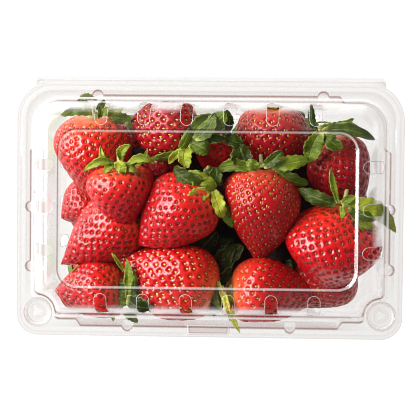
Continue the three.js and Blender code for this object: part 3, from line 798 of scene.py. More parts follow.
def lid_slot_top(turn):
    inner = reach_of(PANEL, turn) + 2.1
    piece = bar(reach_of(DOME_FOOT, turn) - inner + SLOT_WIDTH, 10)
    piece.data.transform(
        Matrix.Translation((0, -inner * MM, (LEDGE_TOP - 9) * MM)) @ Matrix.Rotation(math.pi / 2, 4, "X")
    )
    return piece


def lid_slot_wall(turn):
    wall = reach_of(DOME_FOOT, turn) + 1
    inner = reach_of(PANEL, turn) + 2.1
    piece = bar(LEDGE_TOP + 1 - LID_TOP - 2, wall - inner - 3)
    piece.data.transform(moved(0, -wall, LID_TOP + 2))
    return piece


def make_lid():
    shell = lid_sheet()
    mark_skin(shell)
    cut(shell, slot_cutter(lid_slot_top))
    cut(shell, slot_cutter(lid_slot_wall))
    lips = slot_lips(shell)
    dressed(lips, cut_edge())
    for centre in BOTH_BUTTONS:
        cut(shell, disc_cutter(centre, LID_BUTTON_HOLE, LID_TOP))
        cut(shell, lid_button(centre), "UNION")
    cut(shell, latch_cutter())
    cut(shell, latch_bump(), "UNION")
    dressed(shell, clear_sheet("lid_sheet"))
    smooth(shell, SHARP)
    return shell, lips


# ---- tub ----------------------------------------------------------------------------------------
TUB_SHEET = 0.4
RIM_UNDERSIDE = 66.1
TUB_SLOT_LOW, TUB_SLOT_HIGH = 5.5, 21
BELLY_HEIGHT = 12
# From the raised floor down to the ring it stands on: how far in, and how high.
FOOT_RING = ((2.3, 2), (1.3, 2), (0.9, 1.7), (0.4, 0.5), (0.1, 0.08), (-0.4, 0))
CHANNEL = {"foot": 51, "full": 54, "bulge": 3.2}
# Along a long and a short side: where the channel's bulge starts, is full, starts to end and has ended.
CHANNEL_ENDS = {
    "front": (-65.1, -62.2, 62.2, 65.1),
    "back": (-65.1, -62.2, 62.2, 65.1),
    "short": (-31.1, -28, 26.7, 29.4),
}
BUMPS = {"front": (-39.5, 39.5), "back": (-54.5, 54.5), "short": (-29.5, -0.5)}
BUMP_RADIUS = 2.9
BUMP_STEPS = (0, 0.7, 1.4, 2.0, 2.5, 2.8, 2.95)


def tub_stations():
    long_side = {-70, 70, *(-60 + 5 * i for i in range(25))}
    short_side = {-35, 34, *(-24 + 5 * i for i in range(11))}
    for side, places in (("front", long_side), ("short", short_side)):
        start, full, ending, end = CHANNEL_ENDS[side]
        for share in (0, 0.25, 0.5, 0.75, 1):
            places |= {blend(start, full, share), blend(ending, end, share)}
    for side, places in (("front", long_side), ("back", long_side), ("short", short_side)):
        for centre in BUMPS[side]:
            places |= {centre + step * way for step in BUMP_STEPS for way in (-1, 1)}
    return sorted(long_side), sorted(short_side)


def channel_push(share, bumps):
    def push(side, along):
        start, full, ending, end = CHANNEL_ENDS[side]
        out = CHANNEL["bulge"] * share * ease(start, full, along) * (1 - ease(ending, end, along))
        for centre in BUMPS[side]:
            off = abs(along - centre)
            if bumps and off < BUMP_RADIUS:
                rise = CHANNEL["bulge"] - 0.6 + math.sqrt(BUMP_RADIUS**2 - off**2)
                out = max(out, blend(out, rise, bumps))
        return out

    return push


def tub_sheet():
    stations = tub_stations()
    floor = drawn_in(TUB_FOOT, 6.5)
    rings = [outline(drawn_in(floor, inset), z, stations) for inset, z in FOOT_RING]
    rings.append(outline(drawn_in(TUB_FOOT, 2), 0, stations))
    foot, belly = outline(TUB_FOOT, 0, stations), outline(TUB_BELLY, BELLY_HEIGHT, stations)
    for i in range(11):
        angle = i / 10 * math.pi / 2
        ring = between(foot, belly, math.sin(angle))
        rings.append([Vector((p.x, p.y, BELLY_HEIGHT * (1 - math.cos(angle)))) for p in ring])
    waist = outline(TUB_WAIST, CHANNEL["foot"], stations)
    rings += [between(belly, waist, share / 8) for share in range(1, 9)]
    levels = plain(rings)
    # The channel: a little glowing milkiness, painted light, and painted shade along its creases.
    for z, line in ((51.5, 0.2), (52.1, 0.4), (52.9, 0), (53.5, 0), (54, 0.35)):
        share = ease(CHANNEL["foot"], CHANNEL["full"], z)
        levels.append((outline(TUB_WAIST, z, stations, channel_push(share, 0)), 0.04, line))
    for z in (55.5, 55.9, 56.1, 56.5, 58.5, 61.5, 64.6):
        near = ease(54, 66, z)
        level = {key: blend(TUB_WAIST[key], TUB_MOUTH[key], near) for key in TUB_MOUTH}
        bumps = ease(55.7, 56.6, z)
        levels.append((outline(level, z, stations, channel_push(1, bumps)), 0.04, 0))
    # Under the rim: painted shade along its crease.
    for grow, drop, line in ((0, 1.0, 0), (0.2, 0.45, 0.4), (0.6, 0.12, 0.95), (1.2, 0, 0)):
        level = drawn_in(TUB_MOUTH, -grow)
        levels.append((outline(level, RIM_UNDERSIDE - drop, stations, channel_push(1, 1)), 0.04, line))
    levels += plain([outline(drawn_in(RIM, inset), RIM_UNDERSIDE, stations) for inset in (2.4, 0.6)], 0.04)
    strip = {**RIM, "strip_x": STRIP_HALF, "strip_y": HINGE[0] - 0.1}
    levels.append((outline(strip, RIM_UNDERSIDE, stations), 0.12, 0.18))
    return levels


def tub_slot(turn):
    wall = reach_of(TUB_BELLY, turn) + 6
    piece = bar(TUB_SLOT_HIGH - TUB_SLOT_LOW, 15)
    piece.data.transform(moved(0, -wall, TUB_SLOT_LOW))
    return piece


# Down a snap cup: radius, depth below the rim, and how dark the painted shade along a crease is there.
CUP_ROWS = ((7.3, 0.04, 0), (6.9, 0.04, 0.4), (6.65, 0.3, 0), (6.3, 3.3, 0))
CUP_ROWS += ((6, 3.8, 0.3), (5.4, 4, 0), (2, 4, 0))


def tub_cup(centre):
    top = RIM_UNDERSIDE
    levels = [(round_ring(centre, radius, top - down), 0.05, line) for radius, down, line in CUP_ROWS]
    return thickened(lofted("cup", levels), TUB_SHEET + JOIN, (*centre, top - 4), above=True)


def hinge_bead():
    piece = cylinder(16, BEAD_RADIUS, 2 * STRIP_HALF - 1.5)
    piece.data.transform(moved(0, *HINGE) @ Matrix.Rotation(math.pi / 2, 4, "Y"))
    # A milky bead whose milky layer glows, painted light, with a faint painted crease shade.
    give_values(piece, "haze_and_glow", np.full(len(piece.data.vertices), 0.3))
    give_values(piece, "line", np.full(len(piece.data.vertices), 0.1))
    return piece


def make_tub():
    shell = thickened(lofted("tub_shell", tub_sheet()[::-1]), TUB_SHEET, (0, 0, 2), above=True)
    mark_skin(shell)
    cut(shell, slot_cutter(tub_slot))
    lips = slot_lips(shell)
    dressed(lips, cut_edge())
    for centre in BOTH_BUTTONS:
        cut(shell, disc_cutter(centre, TUB_CUP_HOLE, RIM_UNDERSIDE))
        cut(shell, tub_cup(centre), "UNION")
    cut(shell, hinge_bead(), "UNION")
    dressed(shell, clear_sheet("tub_sheet"))
    smooth(shell, SHARP)
    return shell, lips


# ---- strawberries -------------------------------------------------------------------------------
# Top berries: name, crown, tip, width, the share of the length at which it is widest, tone from bright 0
# to deep 1, how yellow its seeds are, how far apart they are, how wide their pits, as a share of that, and
# how much it tapers like a cone.
TOP_BERRIES = [
    ("upper_left", (-57.5, 45, 55), (-57, -5, 41), 40, 0.32, 0.2, 0.35, 3.6, 0.45, 0.6),
    ("on_top", (-43.5, 20.5, 67), (-41.5, -14, 60), 32, 0.32, 0.4, 0.1, 3.9, 0.32, 0.4),
    ("back_left", (-5.5, 34.5, 57), (-39.5, 42.5, 55), 32, 0.45, 0.8, 0.9, 4.4, 0.40, 0),
    ("middle_left", (1, 10, 65), (-34.5, -19, 62), 36, 0.36, 0.25, 0.2, 3.9, 0.35, 0.3),
    ("back_right", (30.5, 49.5, 56), (32, 16, 46), 38, 0.35, 0.9, 0.8, 4.2, 0.36, 0.2),
    ("middle", (25, 20.5, 63.5), (23.5, -27.5, 57), 38.5, 0.32, 0.68, 0.65, 3.5, 0.37, 0.4),
    ("right_dark", (55.5, 34, 57), (73, -0.5, 47), 30, 0.4, 0.85, 0.2, 3.9, 0.38, 0),
    ("right_big", (65.5, 3.5, 61), (55.5, -41.5, 55), 46, 0.47, 0.1, 0.2, 3.9, 0.42, 0),
    ("left", (-35, -2, 52), (-74.5, -30, 50), 35, 0.3, 0.35, 0.2, 3.7, 0.40, 0.9),
    ("left_small", (-55.5, 4, 38), (-76.5, -7.5, 36), 26, 0.36, 0.5, 0.3, 3.4, 0.37, 0.4),
    ("front_left", (-42, -39.5, 55), (-78, -44.5, 50), 32, 0.36, 0.35, 0.3, 3.7, 0.37, 0.5),
    ("front_big", (3.5, -43.5, 58), (-48, -25, 53), 39.5, 0.3, 0.3, 1.0, 4.2, 0.42, 0.1),
    ("front_right", (9.5, -41.5, 58), (57, -43, 50), 35, 0.32, 0.35, 0.6, 4.1, 0.34, 0.3),
    ("under_big", (70, -27, 43), (42, -47.5, 44), 36, 0.42, 0.6, 0.5, 3.6, 0.37, 0),
    ("between_leaves", (6, 38, 54), (-1, 16, 49.5), 25, 0.4, 0, 0.2, 3.4, 0.34, 0),
    ("in_the_gap", (-36.5, 26, 36), (-11, 7.5, 36), 32, 0.4, 0.8, 0.2, 3.8, 0.34, 0),
]
# Lower berries: crown, tip, width and widest share.
LOWER_BERRIES = [
    ((-72, -23, 24), (-42, -37, 17), 31, 0.36),
    ((-27, -16, 24), (-15, -47, 18), 33, 0.34),
    ((36, -34, 21), (2, -30, 19), 32, 0.38),
    ((50, -14, 25), (66, -42, 18), 32, 0.34),
    ((-72, 28, 22), (-42, 20, 20), 33, 0.36),
    ((-34, 22, 25), (-9, 38, 18), 30, 0.34),
    ((8, 36, 22), (36, 19, 20), 32, 0.36),
    ((71, 34, 25), (46, 14, 20), 33, 0.38),
    ((-60, 11, 34), (-63, -19, 26), 29, 0.36),
    ((65, 10, 29), (60, -20, 18), 30, 0.36),
    ((14, -44, 33), (4, -22, 26), 29, 0.38),
    ((36, -43, 36), (56, -33, 32), 28, 0.4),
    ((-4, 43, 32), (-9, 24, 17), 27, 0.38),
    ((-45, 42, 33), (-50, 22, 17), 28, 0.38),
    ((43, 42, 30), (39, 22, 18), 27, 0.38),
    ((-48, -43, 33), (-50, -24, 20), 27, 0.38),
    ((-6, -27, 14), (-3, -46, 15), 24, 0.42),
]
# Crown leaves of each berry: from, tip, width, how far the middle bows up, and tone from light 0 to dark 1.
LEAVES = {
    "upper_left": [
        ((-65, 50, 62), (-55.5, 51.5, 63), 3.2, 1.5, 0.55, (-60, 53, 64)),
        ((-56, 47, 62), (-51.5, 51.5, 64), 3, 0, 0.85),
        ((-57.5, 45, 64), (-72.5, 44, 66), 4, 1.5, 0.6),
        ((-58.5, 46, 65), (-61.5, 51.5, 66), 5, 1, 0.45),
        ((-53.5, 42.5, 68), (-53.5, 49.5, 70), 2.6, 0.5, 0.8),
        ((-54, 45.5, 63), (-42, 48, 65), 4.5, 1.5, 0.4),
        ((-50.5, 45, 58), (-39, 42.5, 59), 5, 1.5, 0.6),
    ],
    "on_top": [
        ((-45.5, 21.5, 75), (-60.5, 17, 73), 3.8, 0, 0.4, (-52.5, 22, 78)),
        ((-46.5, 21.5, 73), (-52, 29, 76), 2.8, 0, 0.33, (-50.5, 23.5, 77)),
        ((-44, 22, 77), (-40, 16, 78), 5.5, 1.5, 0.4),
        ((-42, 22, 74), (-37.5, 30, 77), 4.2, 0, 0.42, (-41.5, 27, 77)),
        ((-39.5, 21, 74), (-29.5, 28.5, 75), 3.4, 0, 0.46, (-32, 22.5, 79)),
        ((-39, 20.5, 76), (-25.5, 21, 77), 4.2, 0, 0.36, (-32, 23.5, 80)),
        ((-41, 21, 76), (-34, 17, 78), 3.5, 1.5, 0.45),
        ((-46, 20.5, 76), (-50, 16.5, 76), 3.2, 1, 0.4),
    ],
    "back_left": [
        ((-7.5, 33, 70), (2.5, 45.5, 74), 6.5, 1.5, 0.75),
        ((-1.5, 32.5, 69), (7.5, 46, 73), 8, 1.5, 0.6),
        ((-2, 31.5, 70), (7.5, 33, 70), 4, 1, 0.9),
        ((-10.5, 16.5, 72), (3.5, 10, 73), 7.5, 1.5, 0.42),
        ((-2, 19, 69), (6, 11, 69), 6.5, 1, 0.85),
        ((-14.5, 27, 68), (-9.5, 38, 72), 4.5, 1, 0.5),
        ((-11.5, 28, 66), (-28.5, 23.5, 66), 4.5, 1.5, 0.6),
        ((-10, 31.5, 66), (-11, 19, 70), 6.5, 2, 0.35),
        ((-10.5, 27, 68), (-20, 21, 66), 3.5, 1, 0.2),
        ((-9.5, 31, 68), (-0.5, 26.5, 71), 8, 2, 0.7),
        ((-9, 33, 66), (1.5, 44.5, 68), 7, 1.5, 0.55),
        ((-8, 32.5, 64), (2, 37.5, 68), 3.5, 1, 0.9),
    ],
    "between_leaves": [
        ((8.5, 36.5, 65), (8, 47, 70), 4, 1.5, 0.95),
        ((7, 35, 66), (15.5, 31, 66), 6, 1.5, 0.85),
        ((5.5, 37.5, 63), (13.5, 30.5, 66), 4, 1.5, 0.8),
    ],
    "middle": [
        ((20.5, 19, 70), (4, 18.5, 66), 5.5, 2, 0.6),
        ((18.5, 20, 68), (14, 30.5, 67), 9.5, 2, 0.9),
        ((24, 19, 74), (18.5, 23, 75), 4.5, 1, 0.5),
        ((26, 20, 74), (35, 27.5, 75), 5, 1.5, 0.85),
        ((30, 20, 73), (47.5, 23.5, 72), 7, 2.5, 0.5),
        ((32, 18.5, 71), (47.5, 12, 66), 7, 2, 0.7),
    ],
    "right_dark": [
        ((54, 37, 67), (79.5, 33.5, 67), 6, 0, 0.78, (66, 38, 70)),
        ((52, 38.5, 65), (66, 42, 66), 5.5, 1.5, 0.62),
        ((53, 37, 67), (47.5, 21.5, 66), 8, 1.5, 0.6),
        ((55, 36, 68), (64, 29, 70), 6, 1.5, 0.78),
        ((56, 37, 66), (69, 43.5, 66), 3, 1, 0.5),
        ((50, 37.5, 64), (48.5, 50.5, 68), 3.6, 1, 1.0),
    ],
    "right_big": [
        ((61.5, 2.5, 73), (43, 9.5, 69), 6.5, 3, 0.85),
        ((62, 3, 74), (58, 19.5, 77), 2.8, 1, 0.45),
        ((63.5, 3, 74), (70, 6.5, 74), 4, 1, 0.5),
        ((64.5, 3, 75), (90, -11, 66.9), 8, 0, 0.32, (79.5, -0.5, 74)),
        ((66.5, 0, 74), (81, -4.5, 73), 5.5, 1.5, 0.75),
        ((68, -1, 73), (80, -9.5, 70), 4.5, 1.5, 0.35),
        ((70.5, -2.5, 72), (76, -14.5, 68), 3, 2, 0.6),
        ((63.5, 1.5, 75), (63.5, -4, 78), 3, 0.5, 0.45),
    ],
    "middle_left": [
        ((0, 8.5, 71), (-8.5, 0, 79), 7, 2.5, 0.15),
        ((-1.5, 10.5, 72), (-17, 19, 71), 7, 3, 0.9),
        ((-1, 10.5, 70), (-8, 17.5, 72), 6.5, 1.5, 0.55),
        ((1.5, 10.5, 68), (3, 19.5, 69), 5.5, 1.5, 0.85),
        ((2, 8.5, 70), (6.5, -4.5, 73), 5.5, 2, 0.22),
        ((3.5, 7.5, 67), (11.5, -9.5, 67), 4.5, 2, 0.62),
    ],
    "left": [
        ((-64, -30.5, 55), (-68.5, -34.5, 56), 2.5, 0.5, 0.5),
    ],
    "front_left": [
        ((-41.5, -32, 64), (-47, -22.5, 69), 1.8, 0.5, 0.35),
        ((-39.5, -45, 63), (-40, -26, 65), 4.5, 1.5, 0.48),
        ((-38, -45, 64), (-36.5, -31, 67), 3, 1, 0.7),
        ((-40, -45.5, 65), (-27, -49, 66), 9, 1, 1.15),
        ((-40.5, -41, 60), (-47.5, -50.5, 60), 6, 1.5, 0.5),
        ((-52, -42, 58), (-27, -47, 60), 8, 2.5, 0.75),
        ((-42, -51, 61), (-35, -57, 60), 4, 1, 0.75),
        ((-46, -50, 61), (-47, -56.5, 60), 2.2, 0, 0.45),
    ],
    "front_right": [
        ((6, -44.5, 60), (0, -45, 61), 4.5, 1, 0.7),
        ((1.5, -48, 56), (5.5, -39.5, 58), 6, 1, 0.4),
        ((-3, -51.5, 55), (7, -46.5, 56), 8, 1, 0.95),
        ((7, -41.5, 62), (11, -49, 64), 4.5, 1.5, 0.3),
        ((4.5, -36, 64), (15.5, -60.8, 66.9), 2.8, 0, 0.1, (10.3, -50.5, 69)),
        ((6.5, -38, 64), (10.5, -55, 67), 2.2, 0, 0.02, (9.3, -47, 69)),
        ((2.5, -40, 62), (6.5, -50, 65), 2.4, 1, 0.5),
        ((3.5, -42.5, 51), (10.5, -29.5, 53), 8, 1, 0.9),
    ],
    # Leaves deep in the heap: tones past 1 hold them at the darkest green, painted shade.
    "deep": [
        ((-8, -29, 49), (11, -15, 52), 11, 1, 1.15),
        ((0, -33, 50), (16, -19, 53), 9, 1.5, 1.25),
        ((-10, -25, 50), (3, -12.5, 53), 9, 1, 1.3),
        ((32, -35, 52), (40, -26, 54), 6, 1, 1.15),
        ((-30, -1, 56), (-37.5, -17, 54), 6, 1, 1.3),
        ((8, -30, 52), (12, -20, 53), 5, 1, 0.95),
    ],
}


FRUIT_GAP = 1.0  # how far inside the outer face of the plastic the fruit is meant to stay
PANEL_CEILING, LEDGE_CEILING = 84.8, 86.0  # heights of the plastic over the fruit
PANEL_ROOM = 38.9  # half the width of the room under the panel
HEAP_FLOOR = 3.2
BUTTON_ROOM = 10.2  # radius that the fruit leaves free round a snap cup
CORE_HALF, CORE_MIDDLE = (62, 33, 17), (0, -2.2, 28)
GOLDEN_ANGLE = math.pi * (3 - math.sqrt(5))


def room_limits(z):
    """How far the fruit can reach to the side, to the front and to the back at heights z."""
    shapes = [(0, TUB_FOOT), (3, TUB_FOOT), (12, TUB_BELLY), (51, TUB_WAIST), (66, TUB_MOUTH)]
    shapes += [(67.6, DOME_FOOT), (82.6, DOME_SHOULDER), (85.6, DOME_LEDGE)]
    heights = [height for height, _ in shapes]
    bulge = CHANNEL["bulge"] * np.interp(z, (51, 55, 64, 67), (0, 0.8, 0.8, 0))
    return [
        np.interp(z, heights, [sign * shape[key] for _, shape in shapes]) - FRUIT_GAP + bulge
        for key, sign in (("x", 1), ("front_y", -1), ("back_y", 1))
    ]


def pressed(value, limit, give=1.5):
    """Values that come near a limit are flattened against it."""
    over = value - (limit - give)
    return np.where(over > 0, limit - give * np.exp(-np.maximum(over, 0) / give), value)


def inside_pack(points):
    """Points in mm, pressed in where they come near the plastic."""
    x, y, z = points.T.copy()
    on_panel = (abs(x) < PANEL["x"] + 1) & (abs(y + 0.6) < PANEL_ROOM)
    z = pressed(z, np.where(on_panel, PANEL_CEILING, LEDGE_CEILING) - FRUIT_GAP)
    z = -pressed(-z, -HEAP_FLOOR)
    side, front, back = room_limits(z)
    x = np.sign(x) * pressed(abs(x), side)
    y = np.where(y < 0, -pressed(-y, front), pressed(y, back))
    for centre in BOTH_BUTTONS:
        off_x, off_y = x - centre[0], y - centre[1]
        off = np.hypot(off_x, off_y)
        wanted = -pressed(-off, -np.where(z > 40, BUTTON_ROOM, 0.1))
        x, y = centre[0] + off_x * wanted / off, centre[1] + off_y * wanted / off
    return np.stack([x, y, z], axis=1)


def uneven(points, size, amount, seed):
    """Slow bulges over a surface: one number for each point."""
    waves = random.Random(seed)
    total = np.zeros(len(points))
    for _ in range(5):
        direction = np.array([waves.gauss(0, 1) for _ in range(3)])
        direction *= waves.uniform(0.6, 1.3) / size / np.linalg.norm(direction)
        total += np.sin(points @ direction * 2 * math.pi + waves.uniform(0, 2 * math.pi))
    return total * amount / 2.5


def berry_radius(share, width, belly, cone):
    warp = math.log(0.5) / math.log(belly)
    taper = 1 - 0.38 * cone * np.clip((share - belly) / (1 - belly), 0, 1)
    return width / 2 * taper * np.sin(math.pi * np.clip(share, 0, 1) ** warp) ** 0.72


class Berry:
    """Lays places on a berry (share of its length from the crown, angle round it) out in the pack."""

    def __init__(self, crown, tip, width, belly, cone, seed):
        self.crown, tip = np.array(crown, float), np.array(tip, float)
        self.length = float(np.linalg.norm(tip - self.crown))
        self.axis = (tip - self.crown) / self.length
        self.side = unit(np.cross(self.axis, (0.1, 0.2, 1)))
        self.other = np.cross(self.axis, self.side)
        self.width, self.belly, self.cone, self.seed = width, belly, cone, seed

    def radius(self, share):
        return berry_radius(share, self.width, self.belly, self.cone)

    def outwards(self, angle):
        return np.cos(angle)[:, None] * self.side + np.sin(angle)[:, None] * self.other

    def place(self, share, angle):
        radius = self.radius(share)
        hollow = 2.2 * np.exp(-((radius / 5.5) ** 2)) * (share < 0.3)
        away = self.outwards(angle)
        middle = self.crown + self.axis * (share * self.length + hollow)[:, None]
        bumps = uneven(middle + away * radius[:, None], self.width * 0.9, 0.045 * self.width, self.seed)
        radius = radius + bumps * np.minimum(1, radius / 6)
        return inside_pack(middle + away * radius[:, None])

    def seed_places(self, pitch):
        """Shares and angles of the seeds: evenly spread, each a golden angle further round."""
        shares = np.linspace(0, 1, 400)
        radii = self.radius(shares)
        steps = np.hypot(np.diff(radii), np.diff(shares) * self.length)
        area = np.concatenate([[0], np.cumsum(math.pi * (radii[1:] + radii[:-1]) * steps)])
        low, high = np.interp([0.045, 0.985], shares, area)
        count = int((high - low) / (0.87 * pitch**2))
        share = np.interp(low + (high - low) * (np.arange(count) + 0.5) / count, area, shares)
        angle = np.arange(count) * GOLDEN_ANGLE
        jitter = np.random.default_rng(self.seed)
        share = share + jitter.normal(0, 0.10, count) * pitch / self.length
        return np.clip(share, 0.03, 0.99), angle + jitter.normal(0, 0.10, count) * pitch / (self.width / 2)


PIT_RINGS = (0.3, 0.58, 0.82, 1.0, 1.2)  # shares of a pit's radius where its points lie
PIT_DEPTH = 0.21  # share of the seeds' pitch
CROWN_RINGS = (0.001, 0.004, 0.01, 0.02, 0.033)  # shares of the length, where the flesh bears no seeds
CROWN_SIDES = 24


def sphere_shell(name, share, angle):
    """A closed shell over the places, stretched over them while they lie on a ball."""
    height = 1 - 2 * share
    waist = np.sqrt(1 - height**2)
    ball = np.stack([waist * np.cos(angle), waist * np.sin(angle), height], axis=1)
    piece = mesh_piece(name, ball, [])
    give_values(piece, "share", share)
    give_values(piece, "angle", angle)
    all_faces(piece, bpy.ops.mesh.convex_hull, join_triangles=False)
    return piece


def values_of(piece, name):
    values = np.empty(len(piece.data.vertices), dtype=np.float32)
    piece.data.attributes[name].data.foreach_get("value", values)
    return values.astype(float)


def make_flesh(name, berry, pitch, pit_share, tone, sides):
    """One berry's flesh, with a pit for each seed; returns it with the seeds' middles and directions."""
    share, angle = berry.seed_places(pitch)
    seeds = berry.place(share, angle)
    along = seeds - berry.place(share - 0.01, angle)
    along /= np.linalg.norm(along, axis=1)[:, None]
    out = np.cross(along, berry.place(share, angle + 0.02) - seeds)
    out /= np.linalg.norm(out, axis=1)[:, None]
    out *= np.sign(np.sum(out * berry.outwards(angle), axis=1))[:, None]
    chance = np.random.default_rng(berry.seed + 1)
    radius = berry.radius(share)
    sizes = chance.uniform(0.86, 1.12, len(seeds)) * np.clip(0.35 + radius / 9, 0.5, 1)
    pits = pit_share * pitch * sizes
    slope = np.hypot(berry.length, np.gradient(radius, share))
    shares, angles = [np.array([0.0, 1.0]), share], [np.zeros(2), angle]
    for number, ring in enumerate(PIT_RINGS):
        for side in range(sides):
            turn = 2 * math.pi * (side + 0.5 * (number % 2)) / sides
            shares.append(share + ring * pits * math.cos(turn) / slope)
            angles.append(angle + ring * pits * math.sin(turn) / np.maximum(radius, 1))
    for crown_share in CROWN_RINGS:
        shares.append(np.full(CROWN_SIDES, crown_share))
        angles.append(np.arange(CROWN_SIDES) * 2 * math.pi / CROWN_SIDES + crown_share * 90)
    shares, angles = np.clip(np.concatenate(shares), 0, 1), np.concatenate(angles)
    piece = sphere_shell(name, shares, angles)
    points = berry.place(values_of(piece, "share"), values_of(piece, "angle"))
    squared = ((points[:, None, :] - seeds[None]) ** 2).sum(axis=2) / pits**2
    weight = np.clip(1 - squared.min(axis=1), 0, 1) ** 1.15
    put_at(piece, points)
    all_faces(piece, bpy.ops.mesh.normals_make_consistent, inside=False)
    group = piece.vertex_groups.new(name="pits")
    for index in np.nonzero(weight)[0]:
        group.add([int(index)], float(weight[index]), "REPLACE")
    apply_modifier(piece, "DISPLACE", strength=-PIT_DEPTH * pitch * MM, mid_level=0, vertex_group="pits")
    piece.vertex_groups.clear()
    give_values(piece, "tone", np.full(len(points), tone))
    # How deep in its pit each point lies; the skin is darkened there, partly as deeper red, partly as painted
    # shade.
    give_values(piece, "pit", weight)
    all_smooth(piece)
    across = np.cross(along, out)
    return piece, (seeds - out * (PIT_DEPTH * pitch * sizes * 0.75)[:, None], along, across, out, sizes)


SEED_SIZE = (0.72, 0.48, 0.40)  # half its length, width and height


def make_seeds(name, groups):
    """All seeds of some berries in one mesh: small flattened beads, pointed towards the tip."""
    model = made(bpy.ops.mesh.primitive_uv_sphere_add, segments=5, ring_count=4, radius=1)
    ball = points_of(model)
    faces = [tuple(face.vertices) for face in model.data.polygons]
    bpy.data.objects.remove(model)
    ball = ball[:, [2, 0, 1]]
    ball[:, 1:] *= (1 - 0.3 * ball[:, :1])
    vertices, polygons, tones = [], [], []
    chance = np.random.default_rng(77)
    for (middles, along, across, out, sizes), yellow in groups:
        for i, middle in enumerate(middles):
            size = sizes[i] * np.array(SEED_SIZE)
            first = len(vertices) * len(ball)
            frame_of_seed = np.stack([along[i], across[i], out[i]])
            vertices.append(middle + (ball * size) @ frame_of_seed)
            polygons += [tuple(first + v for v in face) for face in faces]
            tones.append(np.full(len(ball), np.clip(yellow + chance.normal(0, 0.13), 0, 1)))
    piece = mesh_piece(name, np.concatenate(vertices) * MM, polygons)
    give_values(piece, "tone", np.concatenate(tones))
    all_smooth(piece)
    return piece


# Along a leaf, from its foot 0 to its tip 1: its width as a share of the widest, pointed or round.
LEAF_PLACES = (0, 0.12, 0.3, 0.5, 0.7, 0.85, 0.95, 1)
POINTED_LEAF = (0.42, 0.62, 0.9, 1, 0.84, 0.55, 0.26, 0.04)
ROUND_LEAF = (0.45, 0.7, 0.95, 1, 0.96, 0.78, 0.5, 0.12)
LEAF_SHEET = 0.45


def leaf_grid(columns, rows):
    """A flat leaf; with it, how far across it each point lies, -1 to 1, and how far along, 0 to 1."""
    piece = made(bpy.ops.mesh.primitive_grid_add, x_subdivisions=columns, y_subdivisions=rows, size=1)
    flat = points_of(piece)
    return piece, flat[:, 0] * 2, flat[:, 1] + 0.5


def finished_leaf(piece, points, along, side, tone):
    put_at(piece, points)
    for key, values in (("along", along), ("across", side), ("tone", np.full(len(side), tone))):
        give_values(piece, key, values)
    apply_modifier(piece, "SOLIDIFY", thickness=LEAF_SHEET * MM, offset=0)
    all_smooth(piece)
    return piece


def make_leaf(leaf, roundness, chance):
    """One leaf of a crown: a grid drawn out along its midrib, cupped, twisted and wavy at its edges."""
    start, tip, width, arch, tone, *via = leaf
    piece, side, along = leaf_grid(10, 24)
    start, tip = np.array(start, float), np.array(tip, float)
    run = tip - start
    length = np.linalg.norm(run)
    across = unit(np.cross((0, 0, 1), run))
    bend = chance.uniform(-0.13, 0.13) * length
    widths = [blend(a, b, roundness) for a, b in zip(POINTED_LEAF, ROUND_LEAF)]
    half = width * 0.56 * np.interp(along, LEAF_PLACES, widths)
    half *= 1 + 0.09 * np.sin(along * chance.uniform(18, 40) + chance.uniform(0, 6)) * (along > 0.15)
    half *= 1 + chance.uniform(-0.18, 0.18) * side
    lean = chance.uniform(-0.7, 0.7)
    twist = lean * (along - 0.1) + chance.uniform(-0.35, 0.35)
    cup = chance.uniform(0.15, 0.5) * chance.choice((-1, 1, 1))
    curl = chance.uniform(-0.25, 0.5) * length
    wave = 0.15 * width * np.sin(along * chance.uniform(6, 12) + chance.uniform(0, 6) + 2 * side)
    lift = arch * 4 * along * (1 - along) + half * (cup * side**2 + np.sin(twist) * side) + wave * side**2
    lift -= curl * np.maximum(0, along - 0.7) ** 2 * 3
    lift -= 0.3 * np.exp(-((side * 5) ** 2)) * (1 - along)
    middle = start + along[:, None] * run
    if via:
        bend = 0
        middle += (4 * along * (1 - along))[:, None] * (np.array(via[0], float) - (start + tip) / 2)
    points = middle + (side * half * np.cos(twist))[:, None] * across
    points += (bend * np.sin(math.pi * along))[:, None] * across
    points[:, 2] += lift + uneven(points, 5, 0.35, chance.randrange(999))
    return finished_leaf(piece, inside_leafroom(points), along, side, tone)


def make_hidden_crown(berry, chance):
    """The crown of a berry whose stalk end points down or away: leaves that lie on the fruit."""
    leaves = []
    for number in range(7):
        middle = 2 * math.pi * number / 7 + chance.uniform(-0.2, 0.2)
        if berry.crown[2] > 34 and berry.outwards(np.array([middle]))[0][2] > -0.25:
            continue
        piece, side, along = leaf_grid(4, 12)
        share = (0.02 + along) ** 2 * chance.uniform(0.22, 0.32)
        half = chance.uniform(2.2, 3.2) * np.interp(along, LEAF_PLACES, POINTED_LEAF)
        turn = side * half / np.maximum(berry.radius(share), 1.5)
        angle = middle + chance.uniform(-0.2, 0.2) * along + turn
        rise = 0.7 + 0.5 * side**2 + chance.uniform(0, 2.5) * along**3
        flare = np.minimum(1, along * 1.5)[:, None]
        lifted = berry.outwards(angle) * flare - berry.axis * (1 - flare)
        points = inside_pack(berry.place(share, angle) + rise[:, None] * lifted)
        leaves.append(finished_leaf(piece, points, along, side, chance.uniform(0.35, 0.8)))
    return leaves


# How high the leaves can be under the lid: places out from the pack's middle and the room's height there.
LEAF_CEILING = (84, 84, 81, 68.3, 66.9)
LEAF_REACH = {
    "side": (0, 76, 78.2, 83, 84),
    "front": (0, 44, 46.4, 50.7, 51.6),
    "back": (0, 43, 45.2, 49.4, 50.2),
}
RIM_STARTS = {"side": 86.3, "front": 57.3, "back": 53}
BETWEEN_RIMS = 66.88  # height


